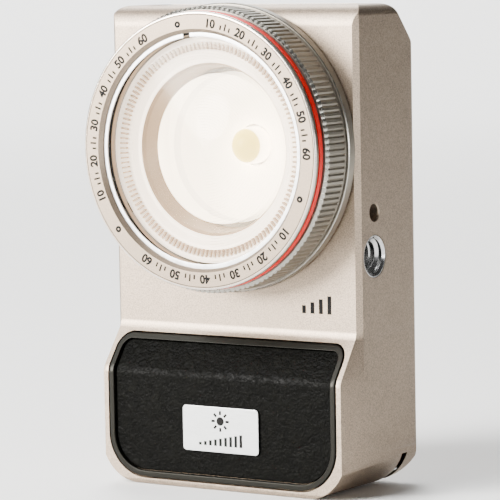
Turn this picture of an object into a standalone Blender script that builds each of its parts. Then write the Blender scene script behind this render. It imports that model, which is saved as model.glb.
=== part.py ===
"""Pocket fresnel spotlight: a hand-sized LED light with a screw-focus fresnel lens head.

The origin is the centre of the flat base, +Z is up and the lens looks along -Y.
Lengths are in metres; MM turns the millimetre sizes below into metres.
"""

import bpy
import bmesh
from math import atan2, cos, hypot, pi, radians, sin, sqrt, tan
from mathutils import Matrix, Vector

MM = 0.001

# Driving dimensions of the body
BODY_WIDTH = 51.9 * MM
BODY_HEIGHT = 86.0 * MM
BODY_DEPTH = 25.9 * MM
BULGE_DEPTH = 5.7 * MM
BULGE_TAPER = 0.8 * MM
WALL = 1.75 * MM
GAP = 0.3 * MM
TOP_CORNER = 2.0 * MM
BOTTOM_CORNER = 8.4 * MM
FRONT_EDGE = 1.0 * MM

HALF_WIDTH = BODY_WIDTH / 2
BULGE_Y = -BODY_DEPTH / 2
FRONT_Y = BULGE_Y + BULGE_DEPTH
BACK_Y = BODY_DEPTH / 2
SLOPE_TOP = 28.3 * MM
SLOPE_BOTTOM = 20.8 * MM
FACET_TOP_Y = 5.3 * MM
FACET_BOTTOM_Z = 77.5 * MM

# Lens head: radii, and heights measured forward of the upper front face
LENS_Z = 60.9 * MM
FRONT_RING_RADIUS = 24.4 * MM
FOCUS_RING_RADIUS = 25.2 * MM
MOUNT_RING_RADIUS = 25.6 * MM
LENS_OPENING = 20.7 * MM
LENS_RADIUS = 21.0 * MM
HEAD_HEIGHT = 11.2 * MM
MOUNT_TOP = 2.3 * MM
FOCUS_TOP = 8.4 * MM
SEAT_RADIUS = 19.2 * MM
BEAM_RADIUS = 15.3 * MM

# Side thread (1/4 inch, 20 turns to the inch), its twist-stop hole, and the lanyard slot
THREAD_Y = -2.05 * MM
THREAD_Z = 42.0 * MM
THREAD_RADIUS = 3.05 * MM
INSERT_RADIUS = 3.75 * MM
INSERT_DEPTH = 7.0 * MM
PIN_HOLE_Z = 49.7 * MM
PIN_HOLE_RADIUS = 1.5 * MM
LANYARD_Y = 8.0 * MM
LANYARD_WIDTH = 1.8 * MM
LANYARD_REACH = 5.8 * MM

# Power inlet on the left side
INLET_Y = -8.0 * MM
INLET_Z = 13.5 * MM

# Leather panel and its badge
PANEL_HALF_WIDTH = 23.95 * MM
PANEL_BOTTOM = 1.45 * MM
PANEL_TOP = 26.9 * MM
PANEL_BOTTOM_CORNER = 7.6 * MM
PANEL_TOP_CORNER = 2.6 * MM
BEZEL_WIDTH = 1.0 * MM
BEZEL_DEPTH = 1.2 * MM
PLATE_WIDTH = 16.0 * MM
PLATE_HEIGHT = 8.1 * MM
PLATE_Z = 11.0 * MM
PLATE_THICKNESS = 0.25 * MM
LEATHER_SUNK = 0.6 * MM

# Back controls, the rear cover and the main board behind it
DIAL_Z = 56.0 * MM
DIAL_RADIUS = 7.0 * MM
BUTTON_Z = 38.0 * MM
BUTTON_RADIUS = 3.6 * MM
DIAL_HEIGHT = 2.4 * MM
COVER_HALF_WIDTH = 22.2 * MM
COVER_BOTTOM = 9.8 * MM
COVER_TOP = 72.7 * MM
COVER_Y = 11.6 * MM
BOARD_Y = 7.0 * MM

ARC_STEP = radians(18)
RING_SIDES = 64
SMALL_SIDES = 24

for old in list(bpy.data.objects):
    bpy.data.objects.remove(old, do_unlink=True)

product = bpy.data.collections.new("fresnel_spotlight")
cutters = bpy.data.collections.new("cutters")
for collection in (product, cutters):
    bpy.context.scene.collection.children.link(collection)

FINISHES = {
    "champagne_metal": ((0.62, 0.55, 0.48), 0.38, 0.9),
    "grey_metal": ((0.21, 0.20, 0.17), 0.42, 0.9),
    "red_metal": ((0.75, 0.01, 0.01), 0.35, 0.4),
    "dark_trim": ((0.08, 0.075, 0.065), 0.4, 0.6),
    "black_leather": ((0.012, 0.012, 0.011), 0.55, 0.0),
    "silver_plate": ((0.66, 0.67, 0.65), 0.3, 0.9),
    "steel": ((0.55, 0.55, 0.54), 0.25, 1.0),
    "white_plastic": ((0.8, 0.79, 0.76), 0.45, 0.0),
    "black_plastic": ((0.02, 0.02, 0.02), 0.5, 0.0),
    "window_glass": ((0.9, 0.93, 0.95), 0.05, 0.0),
    "dark_glass": ((0.02, 0.022, 0.03), 0.05, 0.0),
    "led_phosphor": ((0.9, 0.8, 0.3), 0.4, 0.0),
    "circuit_board": ((0.02, 0.12, 0.05), 0.5, 0.0),
    "bare_aluminium": ((0.6, 0.6, 0.6), 0.4, 1.0),
    "battery_wrap": ((0.1, 0.2, 0.35), 0.5, 0.0),
    "copper_coil": ((0.55, 0.25, 0.1), 0.4, 0.8),
}


def finish(name):
    """Returns the named finish as a material, made on first use."""
    material = bpy.data.materials.get(name)
    if material is None:
        colour, roughness, metallic = FINISHES[name]
        material = bpy.data.materials.new(name)
        material.use_nodes = True
        shader = material.node_tree.nodes["Principled BSDF"]
        shader.inputs["Base Color"].default_value = (*colour, 1.0)
        shader.inputs["Roughness"].default_value = roughness
        shader.inputs["Metallic"].default_value = metallic
    return material


def place(obj, material=None):
    """Puts a piece in the product, or with no material makes it a cutter."""
    if material is None:
        cutters.objects.link(obj)
        obj.hide_render = True
        obj.display_type = "WIRE"
        return obj
    product.objects.link(obj)
    obj.data.materials.clear()
    obj.data.materials.append(finish(material))
    obj.data.shade_smooth()
    obj.data.set_sharp_from_angle(angle=radians(35))
    return obj


# Turns that lay a shape's own Z axis along a direction of the product
FACING = {
    "up": (0.0, 0.0, 0.0),
    "front": (pi / 2, 0.0, 0.0),
    "back": (-pi / 2, 0.0, 0.0),
    "right": (0.0, pi / 2, 0.0),
    "left": (0.0, -pi / 2, 0.0),
}


def rounded(corners):
    """Outline points from (x, y, radius) corners, with an arc at each corner that has a radius."""
    points = []
    count = len(corners)
    for index, (x, y, radius) in enumerate(corners):
        here = Vector((x, y))
        before = (Vector(corners[index - 1][:2]) - here).normalized()
        after = (Vector(corners[(index + 1) % count][:2]) - here).normalized()
        if radius <= 0:
            points.append(here)
            continue
        half_angle = before.angle(after) / 2
        centre = here + (before + after).normalized() * radius / sin(half_angle)
        start = here + before * radius / tan(half_angle) - centre
        turn = pi - 2 * half_angle
        if before.x * after.y - before.y * after.x > 0:
            turn = -turn
        steps = max(1, round(abs(turn) / ARC_STEP))
        for step in range(steps + 1):
            swing = Matrix.Rotation(turn * step / steps, 2)
            points.append(centre + swing @ start)
    return points


def rectangle(half_width, low, high, radius):
    """Corners of a rectangle that is centred across, from low to high."""
    return [
        (-half_width, low, radius),
        (half_width, low, radius),
        (half_width, high, radius),
        (-half_width, high, radius),
    ]


def flat_outline(name, loops, depth):
    """A closed mesh, depth thick and centred on its own plane, from outlines that may hold holes."""
    curve = bpy.data.curves.new(name, "CURVE")
    curve.dimensions = "2D"
    curve.fill_mode = "BOTH"
    curve.extrude = depth / 2
    for loop in loops:
        points = rounded(loop)
        spline = curve.splines.new("POLY")
        spline.points.add(len(points) - 1)
        spline.use_cyclic_u = True
        for point, (x, y) in zip(spline.points, points):
            point.co = (x, y, 0.0, 1.0)
    drawn = bpy.data.objects.new(name + "_outline", curve)
    bpy.context.scene.collection.objects.link(drawn)
    bpy.context.view_layer.update()
    mesh = bpy.data.meshes.new_from_object(drawn.evaluated_get(bpy.context.evaluated_depsgraph_get()))
    bpy.data.objects.remove(drawn, do_unlink=True)
    bpy.data.curves.remove(curve)
    shape = bmesh.new()
    shape.from_mesh(mesh)
    bmesh.ops.remove_doubles(shape, verts=shape.verts, dist=1e-6)
    bmesh.ops.recalc_face_normals(shape, faces=shape.faces)
    shape.to_mesh(mesh)
    shape.free()
    mesh.name = name
    return bpy.data.objects.new(name, mesh)


def front_prism(name, loops, y_low, y_high, material=None):
    """A front-view (x, z) outline carried through the depth from y_low to y_high."""
    prism = flat_outline(name, loops, y_high - y_low)
    prism.rotation_euler = FACING["front"]
    prism.location = (0.0, (y_low + y_high) / 2, 0.0)
    return place(prism, material)


def side_prism(name, loops, x_low, x_high, material=None):
    """A side-view (y, z) outline carried across from x_low to x_high."""
    prism = flat_outline(name, loops, x_high - x_low)
    prism.rotation_euler = (pi / 2, 0.0, pi / 2)
    prism.location = ((x_low + x_high) / 2, 0.0, 0.0)
    return place(prism, material)


def top_prism(name, loops, z_low, z_high, material=None):
    """A plan-view (x, y) outline carried up from z_low to z_high."""
    prism = flat_outline(name, loops, z_high - z_low)
    prism.location = (0.0, 0.0, (z_low + z_high) / 2)
    return place(prism, material)


def turned(name, profile, where, facing, material=None, sides=RING_SIDES):
    """A lathe-turned piece: (radius, height) points down its outer side, then back up the inner side."""
    mesh = bpy.data.meshes.new(name)
    ring_closed = profile[0][0] > 0
    last = len(profile) - 1
    edges = [(i, i + 1) for i in range(last)]
    if ring_closed:
        edges.append((last, 0))
    mesh.from_pydata([(radius, 0.0, height) for radius, height in profile], edges, [])
    piece = bpy.data.objects.new(name, mesh)
    screw = piece.modifiers.new("Turn", "SCREW")
    screw.axis = "Z"
    screw.angle = 2 * pi
    screw.steps = sides
    screw.render_steps = sides
    screw.use_merge_vertices = True
    screw.merge_threshold = 0.00001
    piece.location = where
    piece.rotation_euler = FACING[facing]
    return place(piece, material)


def domed(radius, edge_height, rise, steps=8):
    """The (radius, height) points of a domed top, from its middle out to its edge."""
    curve = (radius**2 + rise**2) / (2 * rise)
    across = [radius * step / steps for step in range(steps + 1)]
    return [(x, edge_height + rise - curve + sqrt(curve**2 - x**2)) for x in across]


def ring(name, inner, outer, low, high, where, facing, material=None, sides=RING_SIDES, edge=0.0):
    """A plain turned ring, with an optional chamfer on its outer top edge."""
    profile = [(outer, high - edge), (outer, low), (inner, low), (inner, high)]
    if edge > 0:
        profile.append((outer - edge, high))
    return turned(name, profile, where, facing, material, sides)


def disc(name, radius, low, high, where, facing, material=None, sides=SMALL_SIDES, edge=0.0):
    """A plain turned disc, with an optional chamfer on its top edge."""
    profile = [(0.0, high), (radius - edge, high), (radius, high - edge), (radius, low), (0.0, low)]
    if edge <= 0:
        profile.pop(1)
    return turned(name, profile, where, facing, material, sides)


def block(name, low, high, material=None, edge=0.0):
    """A box between two opposite corners, with an optional bevel on all its edges."""
    mesh = bpy.data.meshes.new(name)
    shape = bmesh.new()
    bmesh.ops.create_cube(shape, size=1.0)
    size = Vector(high) - Vector(low)
    bmesh.ops.scale(shape, vec=size, verts=shape.verts)
    shape.to_mesh(mesh)
    shape.free()
    piece = bpy.data.objects.new(name, mesh)
    piece.location = (Vector(low) + Vector(high)) / 2
    if edge > 0:
        bevel = piece.modifiers.new("Edges", "BEVEL")
        bevel.width = edge
        bevel.segments = 2
    return place(piece, material)


def boolean(piece, other, operation="DIFFERENCE"):
    """Cuts, joins or intersects a piece with another object."""
    step = piece.modifiers.new(operation.title(), "BOOLEAN")
    step.operation = operation
    step.object = other
    step.solver = "EXACT"
    return piece


def on_lens_axis(forward=0.0):
    """The point on the lens axis that is this far forward of the upper front face."""
    return (0.0, FRONT_Y - forward, LENS_Z)


def around_lens(radius, angle, forward):
    """The point at a radius and angle round the lens axis, seen from the front."""
    return (radius * cos(angle), FRONT_Y - forward, LENS_Z + radius * sin(angle))


def side_profile(inset):
    """The body's side outline (y, z), moved in by inset at its flat faces."""
    slope_run = BULGE_DEPTH / (SLOPE_TOP - SLOPE_BOTTOM)
    slope_shift = inset * (hypot(1.0, slope_run) - slope_run)
    facet_rise = (BODY_HEIGHT - FACET_BOTTOM_Z) / (BACK_Y - FACET_TOP_Y)
    facet_shift = inset * (hypot(1.0, facet_rise) - facet_rise)
    facet_drop = inset * (hypot(1.0, facet_rise) - 1.0) / facet_rise
    return [
        (BULGE_Y + inset, inset, max(FRONT_EDGE - inset, 0.0)),
        (BACK_Y - inset, inset, max(7.0 * MM - inset, 1.0 * MM)),
        (BACK_Y - inset, FACET_BOTTOM_Z - facet_shift, 3.5 * MM),
        (FACET_TOP_Y - facet_drop, BODY_HEIGHT - inset, 4.0 * MM),
        (FRONT_Y + inset, BODY_HEIGHT - inset, max(3.8 * MM - inset, 1.0 * MM)),
        (FRONT_Y + inset, SLOPE_TOP - slope_shift, 2.5 * MM),
        (BULGE_Y + inset, SLOPE_BOTTOM - slope_shift, 2.5 * MM),
    ]


def make_housing():
    """The one-piece metal body: outer form, hollow, and every opening in it."""
    housing = side_prism("main_housing", [side_profile(0.0)], -HALF_WIDTH, HALF_WIDTH, "champagne_metal")
    front_form = front_prism(
        "front_form",
        [
            [
                (-HALF_WIDTH, 0.0, BOTTOM_CORNER),
                (HALF_WIDTH, 0.0, BOTTOM_CORNER),
                (HALF_WIDTH, BODY_HEIGHT, TOP_CORNER),
                (-HALF_WIDTH, BODY_HEIGHT, TOP_CORNER),
            ]
        ],
        -BODY_DEPTH,
        BODY_DEPTH,
    )
    plan_form = top_prism(
        "plan_form",
        [
            [
                (-HALF_WIDTH, BACK_Y, 2.0 * MM),
                (-HALF_WIDTH, FRONT_Y, 0.0),
                (-HALF_WIDTH + BULGE_TAPER, BULGE_Y - 0.01 * MM, 0.0),
                (HALF_WIDTH - BULGE_TAPER, BULGE_Y - 0.01 * MM, 0.0),
                (HALF_WIDTH, FRONT_Y, 0.0),
                (HALF_WIDTH, BACK_Y, 2.0 * MM),
            ]
        ],
        -BODY_HEIGHT,
        2 * BODY_HEIGHT,
    )
    boolean(housing, front_form, "INTERSECT")
    boolean(housing, plan_form, "INTERSECT")

    cover_recess = front_prism(
        "cover_recess",
        [rectangle(COVER_HALF_WIDTH + GAP, COVER_BOTTOM - GAP, COVER_TOP + GAP, 3.3 * MM)],
        COVER_Y - GAP,
        20.0 * MM,
    )
    cover_opening = front_prism(
        "cover_opening",
        [rectangle(COVER_HALF_WIDTH - 1.8 * MM, COVER_BOTTOM + 1.8 * MM, COVER_TOP - 1.8 * MM, 6.0 * MM)],
        9.0 * MM,
        15.0 * MM,
    )
    inner_width = HALF_WIDTH - WALL
    hollow_front = BULGE_Y + 2.55 * MM
    hollow = side_prism(
        "hollow",
        [
            [
                (hollow_front, 6.2 * MM, 0.0),
                (10.2 * MM, 6.2 * MM, 1.5 * MM),
                (10.2 * MM, 77.4 * MM, 1.0 * MM),
                (3.2 * MM, 84.0 * MM, 1.0 * MM),
                (FRONT_Y + WALL, 84.0 * MM, 1.5 * MM),
                (FRONT_Y + WALL, 26.2 * MM, 0.0),
                (hollow_front, 19.8 * MM, 0.0),
            ]
        ],
        -inner_width,
        inner_width,
    )
    for cutter in (hollow, cover_recess, cover_opening):
        boolean(housing, cutter)

    thread_axis = (0, THREAD_Y, THREAD_Z)
    pin_hole_axis = (0, THREAD_Y, PIN_HOLE_Z)
    thread_boss = disc("thread_boss", 5.6 * MM, 18.6 * MM, inner_width + 0.5 * MM, thread_axis, "right")
    pin_boss = disc("pin_boss", 2.7 * MM, 21.0 * MM, inner_width + 0.5 * MM, pin_hole_axis, "right")
    for boss in (thread_boss, pin_boss):
        boolean(housing, boss, "UNION")
    thread_bore = disc("thread_bore", INSERT_RADIUS + GAP, 18 * MM, 30 * MM, thread_axis, "right", sides=32)
    pin_bore = disc("pin_bore", PIN_HOLE_RADIUS, 22.2 * MM, 30.0 * MM, pin_hole_axis, "right")
    beam_bore = disc("beam_bore", BEAM_RADIUS, -5.0 * MM, 5.0 * MM, on_lens_axis(), "front", sides=RING_SIDES)
    seat_groove = ring(
        "seat_groove",
        SEAT_RADIUS - 2.0 * MM,
        SEAT_RADIUS + 1.9 * MM,
        -1.1 * MM,
        5.0 * MM,
        on_lens_axis(),
        "front",
    )
    panel_recess = panel_form("panel_recess", GAP, 2.0 * MM, -BEZEL_DEPTH - GAP)
    window_recess = top_prism(
        "window_recess",
        [[(x, y, r + GAP) for x, y, r in window_corners(GAP)]],
        BODY_HEIGHT - 1.1 * MM,
        BODY_HEIGHT + 5.0 * MM,
    )
    display_opening = block(
        "display_opening", (-15 * MM, -1.4 * MM, 80 * MM), (15 * MM, 1.8 * MM, BODY_HEIGHT + 1 * MM)
    )
    usb_bore = inlet_stadium("usb_bore", 9.5 * MM, 3.8 * MM, -30.0 * MM, -22.0 * MM)
    lanyard_slot = disc(
        "lanyard_slot",
        LANYARD_REACH,
        LANYARD_Y - LANYARD_WIDTH / 2,
        LANYARD_Y + LANYARD_WIDTH / 2,
        (HALF_WIDTH, 0.0, 0.0),
        "back",
        sides=48,
    )
    pin_ends = (LANYARD_Y - 3.0 * MM, LANYARD_Y + 3.0 * MM)
    pin_tunnel = disc("pin_tunnel", 0.8 * MM, *pin_ends, lanyard_pin_axis(), "back")
    for cutter in (
        thread_bore,
        pin_bore,
        beam_bore,
        seat_groove,
        panel_recess,
        window_recess,
        display_opening,
        usb_bore,
        lanyard_slot,
        pin_tunnel,
    ):
        boolean(housing, cutter)
    for number, (x, z) in enumerate(cover_screw_places(), 1):
        bore = disc(f"cover_screw_bore_{number}", 0.85 * MM, 9 * MM, 12 * MM, (x, 0, z), "back", sides=12)
        boolean(housing, bore)


def window_corners(grow=0.0):
    """The plan outline of the glossy strip in the top face."""
    half_length = 21.0 * MM + grow
    y_low = -2.9 * MM - grow
    y_high = 3.3 * MM + grow
    radius = 1.5 * MM
    return [
        (-half_length, y_low, radius),
        (half_length, y_low, radius),
        (half_length, y_high, radius),
        (-half_length, y_high, radius),
    ]


def inlet_stadium(name, length, width, x_low, x_high, material=None):
    """An upright round-ended slot shape at the power inlet, running across the body."""
    radius = width / 2 - 0.001 * MM
    low = INLET_Z - length / 2
    high = INLET_Z + length / 2
    outline = [
        (INLET_Y - width / 2, low, radius),
        (INLET_Y + width / 2, low, radius),
        (INLET_Y + width / 2, high, radius),
        (INLET_Y - width / 2, high, radius),
    ]
    return side_prism(name, [outline], x_low, x_high, material)


def lanyard_pin_axis():
    """The end view point of the lanyard pin, just inside the rounded lower corner."""
    reach = 4.1 * MM / hypot(1.0, 1.0)
    return (HALF_WIDTH - reach, 0.0, reach)


def cover_screw_places():
    """The rear cover's four screws (x, z), one in each corner."""
    x = COVER_HALF_WIDTH - 2.1 * MM
    return [(sx * x, z) for sx in (-1, 1) for z in (COVER_BOTTOM + 2.1 * MM, COVER_TOP - 2.1 * MM)]


def panel_form(name, grow, outer_offset, inner_offset, material=None):
    """A slab that follows the bulge's face and slope inside the panel's outline; offsets are outwards."""
    slope = atan2(SLOPE_TOP - SLOPE_BOTTOM, BULGE_DEPTH)
    top_y = BULGE_Y + (PANEL_TOP - SLOPE_BOTTOM) / tan(slope)
    beyond = 3.0 * MM

    def surface(offset):
        """The side-view line of the bulge's face and slope, moved outwards by offset."""
        corner_z = SLOPE_BOTTOM + offset * tan((pi / 2 - slope) / 2)
        end_y = top_y + beyond * cos(slope) - offset * sin(slope)
        end_z = PANEL_TOP + beyond * sin(slope) + offset * cos(slope)
        return [(BULGE_Y - offset, -beyond, 0.0), (BULGE_Y - offset, corner_z, 2.5 * MM), (end_y, end_z, 0.0)]

    section = surface(outer_offset) + surface(inner_offset)[::-1]
    slab = side_prism(name, [section], -HALF_WIDTH, HALF_WIDTH, material)
    half = PANEL_HALF_WIDTH + grow
    low = PANEL_BOTTOM - grow
    high = PANEL_TOP + grow
    outline = [
        (-half, low, PANEL_BOTTOM_CORNER + grow),
        (half, low, PANEL_BOTTOM_CORNER + grow),
        (half, high, PANEL_TOP_CORNER + grow),
        (-half, high, PANEL_TOP_CORNER + grow),
    ]
    boolean(slab, front_prism(name + "_outline", [outline], -BODY_DEPTH, BODY_DEPTH), "INTERSECT")
    return slab


def make_panel():
    """The bezel let into the bulge, the leather inside it and the badge on the leather."""
    bezel = panel_form("panel_bezel", 0.0, 0.0, -BEZEL_DEPTH, "dark_trim")
    boolean(bezel, panel_form("bezel_hole", -BEZEL_WIDTH, 2.0 * MM, -4.0 * MM))
    panel_form("leather_panel", -BEZEL_WIDTH - GAP, -LEATHER_SUNK, -BEZEL_DEPTH, "black_leather")
    plate = [rectangle(PLATE_WIDTH / 2, PLATE_Z - PLATE_HEIGHT / 2, PLATE_Z + PLATE_HEIGHT / 2, 0.7 * MM)]
    plate_back = BULGE_Y + LEATHER_SUNK - GAP
    front_prism("name_plate", plate, plate_back - PLATE_THICKNESS, plate_back, "silver_plate")


def make_side_fittings():
    """The threaded insert, the lanyard pin and the power inlet."""
    side = (0.0, THREAD_Y, THREAD_Z)
    face = HALF_WIDTH - 0.1 * MM
    floor = face - INSERT_DEPTH
    insert_profile = [
        (INSERT_RADIUS, face),
        (INSERT_RADIUS, floor),
        (0.0, floor),
        (0.0, floor + 0.8 * MM),
        (THREAD_RADIUS, floor + 0.8 * MM),
        (THREAD_RADIUS, face),
    ]
    turned("thread_insert", insert_profile, side, "right", "steel", 32)
    disc(
        "lanyard_pin",
        0.5 * MM,
        LANYARD_Y - 2.7 * MM,
        LANYARD_Y + 2.7 * MM,
        lanyard_pin_axis(),
        "back",
        "steel",
        sides=12,
    )
    shell = inlet_stadium("usb_shell", 8.94 * MM, 3.26 * MM, -25.2 * MM, -18.0 * MM, "steel")
    boolean(shell, inlet_stadium("usb_mouth", 8.34 * MM, 2.66 * MM, -27.0 * MM, -18.6 * MM))
    block(
        "usb_tongue",
        (-24.4 * MM, INLET_Y - 0.35 * MM, INLET_Z - 3.3 * MM),
        (-18.9 * MM, INLET_Y + 0.35 * MM, INLET_Z + 3.3 * MM),
        "black_plastic",
    )
    block("usb_board", (-23.8 * MM, -6.05 * MM, 8.0 * MM), (-8.0 * MM, -5.55 * MM, 19.0 * MM), "circuit_board")


def make_top():
    """The glossy strip in the top face, with the status display under it."""
    strip_top = BODY_HEIGHT - 0.05 * MM
    top_prism("top_window", [window_corners()], strip_top - 0.75 * MM, strip_top, "dark_glass")
    display_size = ((-14.5 * MM, -1.1 * MM, 82.6 * MM), (14.5 * MM, 1.5 * MM, 84.5 * MM))
    block("status_display", *display_size, "black_plastic")


def make_light_engine():
    """The lamp on the lens axis, from its window back to the heat spreader."""
    axis = on_lens_axis()
    seat_radii = (SEAT_RADIUS - 1.7 * MM, SEAT_RADIUS + 1.6 * MM)
    ring("seat_ring", *seat_radii, -0.8 * MM, -0.05 * MM, axis, "front", "steel")
    bezel_profile = [
        (15.0 * MM, -0.05 * MM),
        (15.0 * MM, -2.2 * MM),
        (14.1 * MM, -2.2 * MM),
        (14.1 * MM, -0.6 * MM),
        (13.4 * MM, -0.6 * MM),
        (13.4 * MM, -0.05 * MM),
    ]
    turned("window_bezel", bezel_profile, axis, "front", "grey_metal", 48)
    window_profile = domed(13.3 * MM, 4.1 * MM, 2.8 * MM) + [
        (13.3 * MM, -0.9 * MM),
        (13.8 * MM, -0.9 * MM),
        (13.8 * MM, -2.0 * MM),
        (0.0, -2.0 * MM),
    ]
    turned("front_window", window_profile, axis, "front", "window_glass", 48)
    cup_profile = [
        (14.6 * MM, -2.5 * MM),
        (14.6 * MM, -3.3 * MM),
        (13.4 * MM, -3.4 * MM),
        (5.0 * MM, -7.6 * MM),
        (3.8 * MM, -7.6 * MM),
        (3.8 * MM, -6.9 * MM),
        (12.9 * MM, -2.5 * MM),
    ]
    turned("reflector_cup", cup_profile, axis, "front", "white_plastic", 48)
    emitter_profile = domed(3.3 * MM, -5.2 * MM, 2.8 * MM) + [(3.3 * MM, -7.7 * MM), (0.0, -7.7 * MM)]
    turned("led_emitter", emitter_profile, axis, "front", "led_phosphor", 32)
    disc("led_board", 12.0 * MM, -9.2 * MM, -8.0 * MM, axis, "front", "bare_aluminium", sides=32)
    spreader = block(
        "heat_spreader", (-18 * MM, 2.25 * MM, 45.5 * MM), (18 * MM, 6.2 * MM, 76.5 * MM), "bare_aluminium"
    )
    for number in range(5):
        x = (number - 2) * 6.0 * MM
        groove = block(
            f"spreader_groove_{number + 1}", (x - 1.5 * MM, 4.2 * MM, 40 * MM), (x + 1.5 * MM, 9 * MM, 80 * MM)
        )
        boolean(spreader, groove)


def make_electronics():
    """The battery in its tray, and the main board with its largest parts and screws."""
    cell_size = ((-19.5 * MM, -4.2 * MM, 8.2 * MM), (19.5 * MM, 4.9 * MM, 35.0 * MM))
    block("battery_cell", *cell_size, "battery_wrap", 1.2 * MM)
    tray_size = ((-20.8 * MM, -5.2 * MM, 6.5 * MM), (20.8 * MM, 5.9 * MM, 21.0 * MM))
    tray = block("battery_tray", *tray_size, "black_plastic")
    boolean(tray, block("tray_space", (-19.8 * MM, -4.5 * MM, 7.4 * MM), (19.8 * MM, 5.2 * MM, 25 * MM)))
    board_size = ((-21.0 * MM, BOARD_Y, 24.0 * MM), (21.0 * MM, BOARD_Y + 1.2 * MM, 75.0 * MM))
    board = block("main_board", *board_size, "circuit_board")
    for number, side in enumerate((-1, 1), 1):
        where = (side * 18.9 * MM, 0.0, 47.5 * MM)
        boolean(board, disc(f"board_hole_{number}", 1.1 * MM, 5 * MM, 10 * MM, where, "back", sides=12))
        screw_profile = [
            (1.5 * MM, BOARD_Y + 2.2 * MM),
            (1.5 * MM, BOARD_Y + 1.5 * MM),
            (0.8 * MM, BOARD_Y + 1.5 * MM),
            (0.8 * MM, BOARD_Y - 3.0 * MM),
            (0.0, BOARD_Y - 3.0 * MM),
        ]
        turned(f"board_screw_{number}", [(0.0, BOARD_Y + 2.2 * MM)] + screw_profile, where, "back", "steel", 12)
    front_of_board = BOARD_Y - GAP
    coil_size = ((-13.0 * MM, 1.6 * MM, 37.0 * MM), (-6.0 * MM, front_of_board, 43.5 * MM))
    block("driver_coil", *coil_size, "copper_coil", 0.8 * MM)
    chip_size = ((4.0 * MM, 5.9 * MM, 37.0 * MM), (10.0 * MM, front_of_board, 43.0 * MM))
    block("control_chip", *chip_size, "black_plastic")


def make_back():
    """The rear cover with its screws, the dial and the power button."""
    cover = front_prism(
        "rear_cover",
        [rectangle(COVER_HALF_WIDTH, COVER_BOTTOM, COVER_TOP, 3.0 * MM)],
        COVER_Y,
        BACK_Y - 0.05 * MM,
        "champagne_metal",
    )
    dial = (0.0, 0.0, DIAL_Z)
    button = (0.0, 0.0, BUTTON_Z)
    boolean(cover, disc("dial_hole", 2.6 * MM, 8 * MM, 15 * MM, dial, "back", sides=32))
    boolean(cover, disc("button_hole", BUTTON_RADIUS + GAP, 8 * MM, 15 * MM, button, "back", sides=32))
    for number, (x, z) in enumerate(cover_screw_places(), 1):
        where = (x, 0.0, z)
        boolean(cover, disc(f"head_bore_{number}", 1.6 * MM, 12.35 * MM, 15 * MM, where, "back", sides=16))
        boolean(cover, disc(f"shank_bore_{number}", 0.85 * MM, 10 * MM, 13 * MM, where, "back", sides=16))
        profile = [
            (0.0, 12.85 * MM),
            (1.3 * MM, 12.85 * MM),
            (1.3 * MM, 12.5 * MM),
            (0.55 * MM, 12.5 * MM),
            (0.55 * MM, 9.4 * MM),
            (0.0, 9.4 * MM),
        ]
        turned(f"cover_screw_{number}", profile, where, "back", "steel", 12)
    knob_foot = BACK_Y + GAP
    disc("dial_knob", DIAL_RADIUS, knob_foot, knob_foot + DIAL_HEIGHT, dial, "back", "grey_metal", 48, 0.5 * MM)
    disc("dial_shaft", 2.2 * MM, 11.4 * MM, knob_foot - GAP / 2, dial, "back", "steel")
    behind_board = BOARD_Y + 1.5 * MM
    encoder_size = ((-6.0 * MM, behind_board, DIAL_Z - 6.0 * MM), (6.0 * MM, 11.0 * MM, DIAL_Z + 6.0 * MM))
    block("dial_encoder", *encoder_size, "black_plastic")
    cap_profile = [
        (0.0, BACK_Y + 0.8 * MM),
        (BUTTON_RADIUS - 0.4 * MM, BACK_Y + 0.8 * MM),
        (BUTTON_RADIUS, BACK_Y + 0.4 * MM),
        (BUTTON_RADIUS, COVER_Y + 0.1 * MM),
        (1.5 * MM, COVER_Y + 0.1 * MM),
        (1.5 * MM, BACK_Y - 2.0 * MM),
        (0.0, BACK_Y - 2.0 * MM),
    ]
    turned("power_button", cap_profile, button, "back", "grey_metal", 32)
    switch_size = ((-2.5 * MM, behind_board, BUTTON_Z - 2.5 * MM), (2.5 * MM, 10.25 * MM, BUTTON_Z + 2.5 * MM))
    block("power_switch", *switch_size, "black_plastic")


def make_lens_head():
    """The fixed part of the lens head: its mounting ring, magnets, guide sleeve and funnel."""
    axis = on_lens_axis()
    low = GAP
    mount = ring(
        "mount_ring", SEAT_RADIUS - 2.2 * MM, MOUNT_RING_RADIUS, low, MOUNT_TOP, axis, "front", "grey_metal"
    )
    for number in range(4):
        where = around_lens(SEAT_RADIUS, radians(45 + 90 * number), 0.0)
        pocket = disc(f"magnet_pocket_{number + 1}", 1.6 * MM, -1 * MM, 1.6 * MM, where, "front", sides=16)
        boolean(mount, pocket)
        disc(f"head_magnet_{number + 1}", 1.3 * MM, 0.35 * MM, 1.3 * MM, where, "front", "steel", sides=16)
    sleeve_ends = (MOUNT_TOP + GAP, 7.9 * MM)
    sleeve = ring("guide_sleeve", 21.4 * MM, 22.1 * MM, *sleeve_ends, axis, "front", "bare_aluminium")
    for number in range(3):
        slot_size = (20.5 * MM, 23.0 * MM, 1.1 * MM, 3.5 * MM, 10.0 * MM)
        boolean(sleeve, guide_block(f"guide_slot_{number + 1}", number, *slot_size))
    funnel_profile = [
        (19.9 * MM, 7.8 * MM),
        (19.2 * MM, 2.9 * MM),
        (19.2 * MM, MOUNT_TOP + GAP),
        (16.4 * MM, MOUNT_TOP + GAP),
        (16.4 * MM, 0.5 * MM),
        (14.2 * MM, 0.5 * MM),
        (14.8 * MM, 6.0 * MM),
        (15.3 * MM, 6.3 * MM),
        (19.0 * MM, 7.8 * MM),
    ]
    turned("inner_funnel", funnel_profile, axis, "front", "white_plastic")


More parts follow.
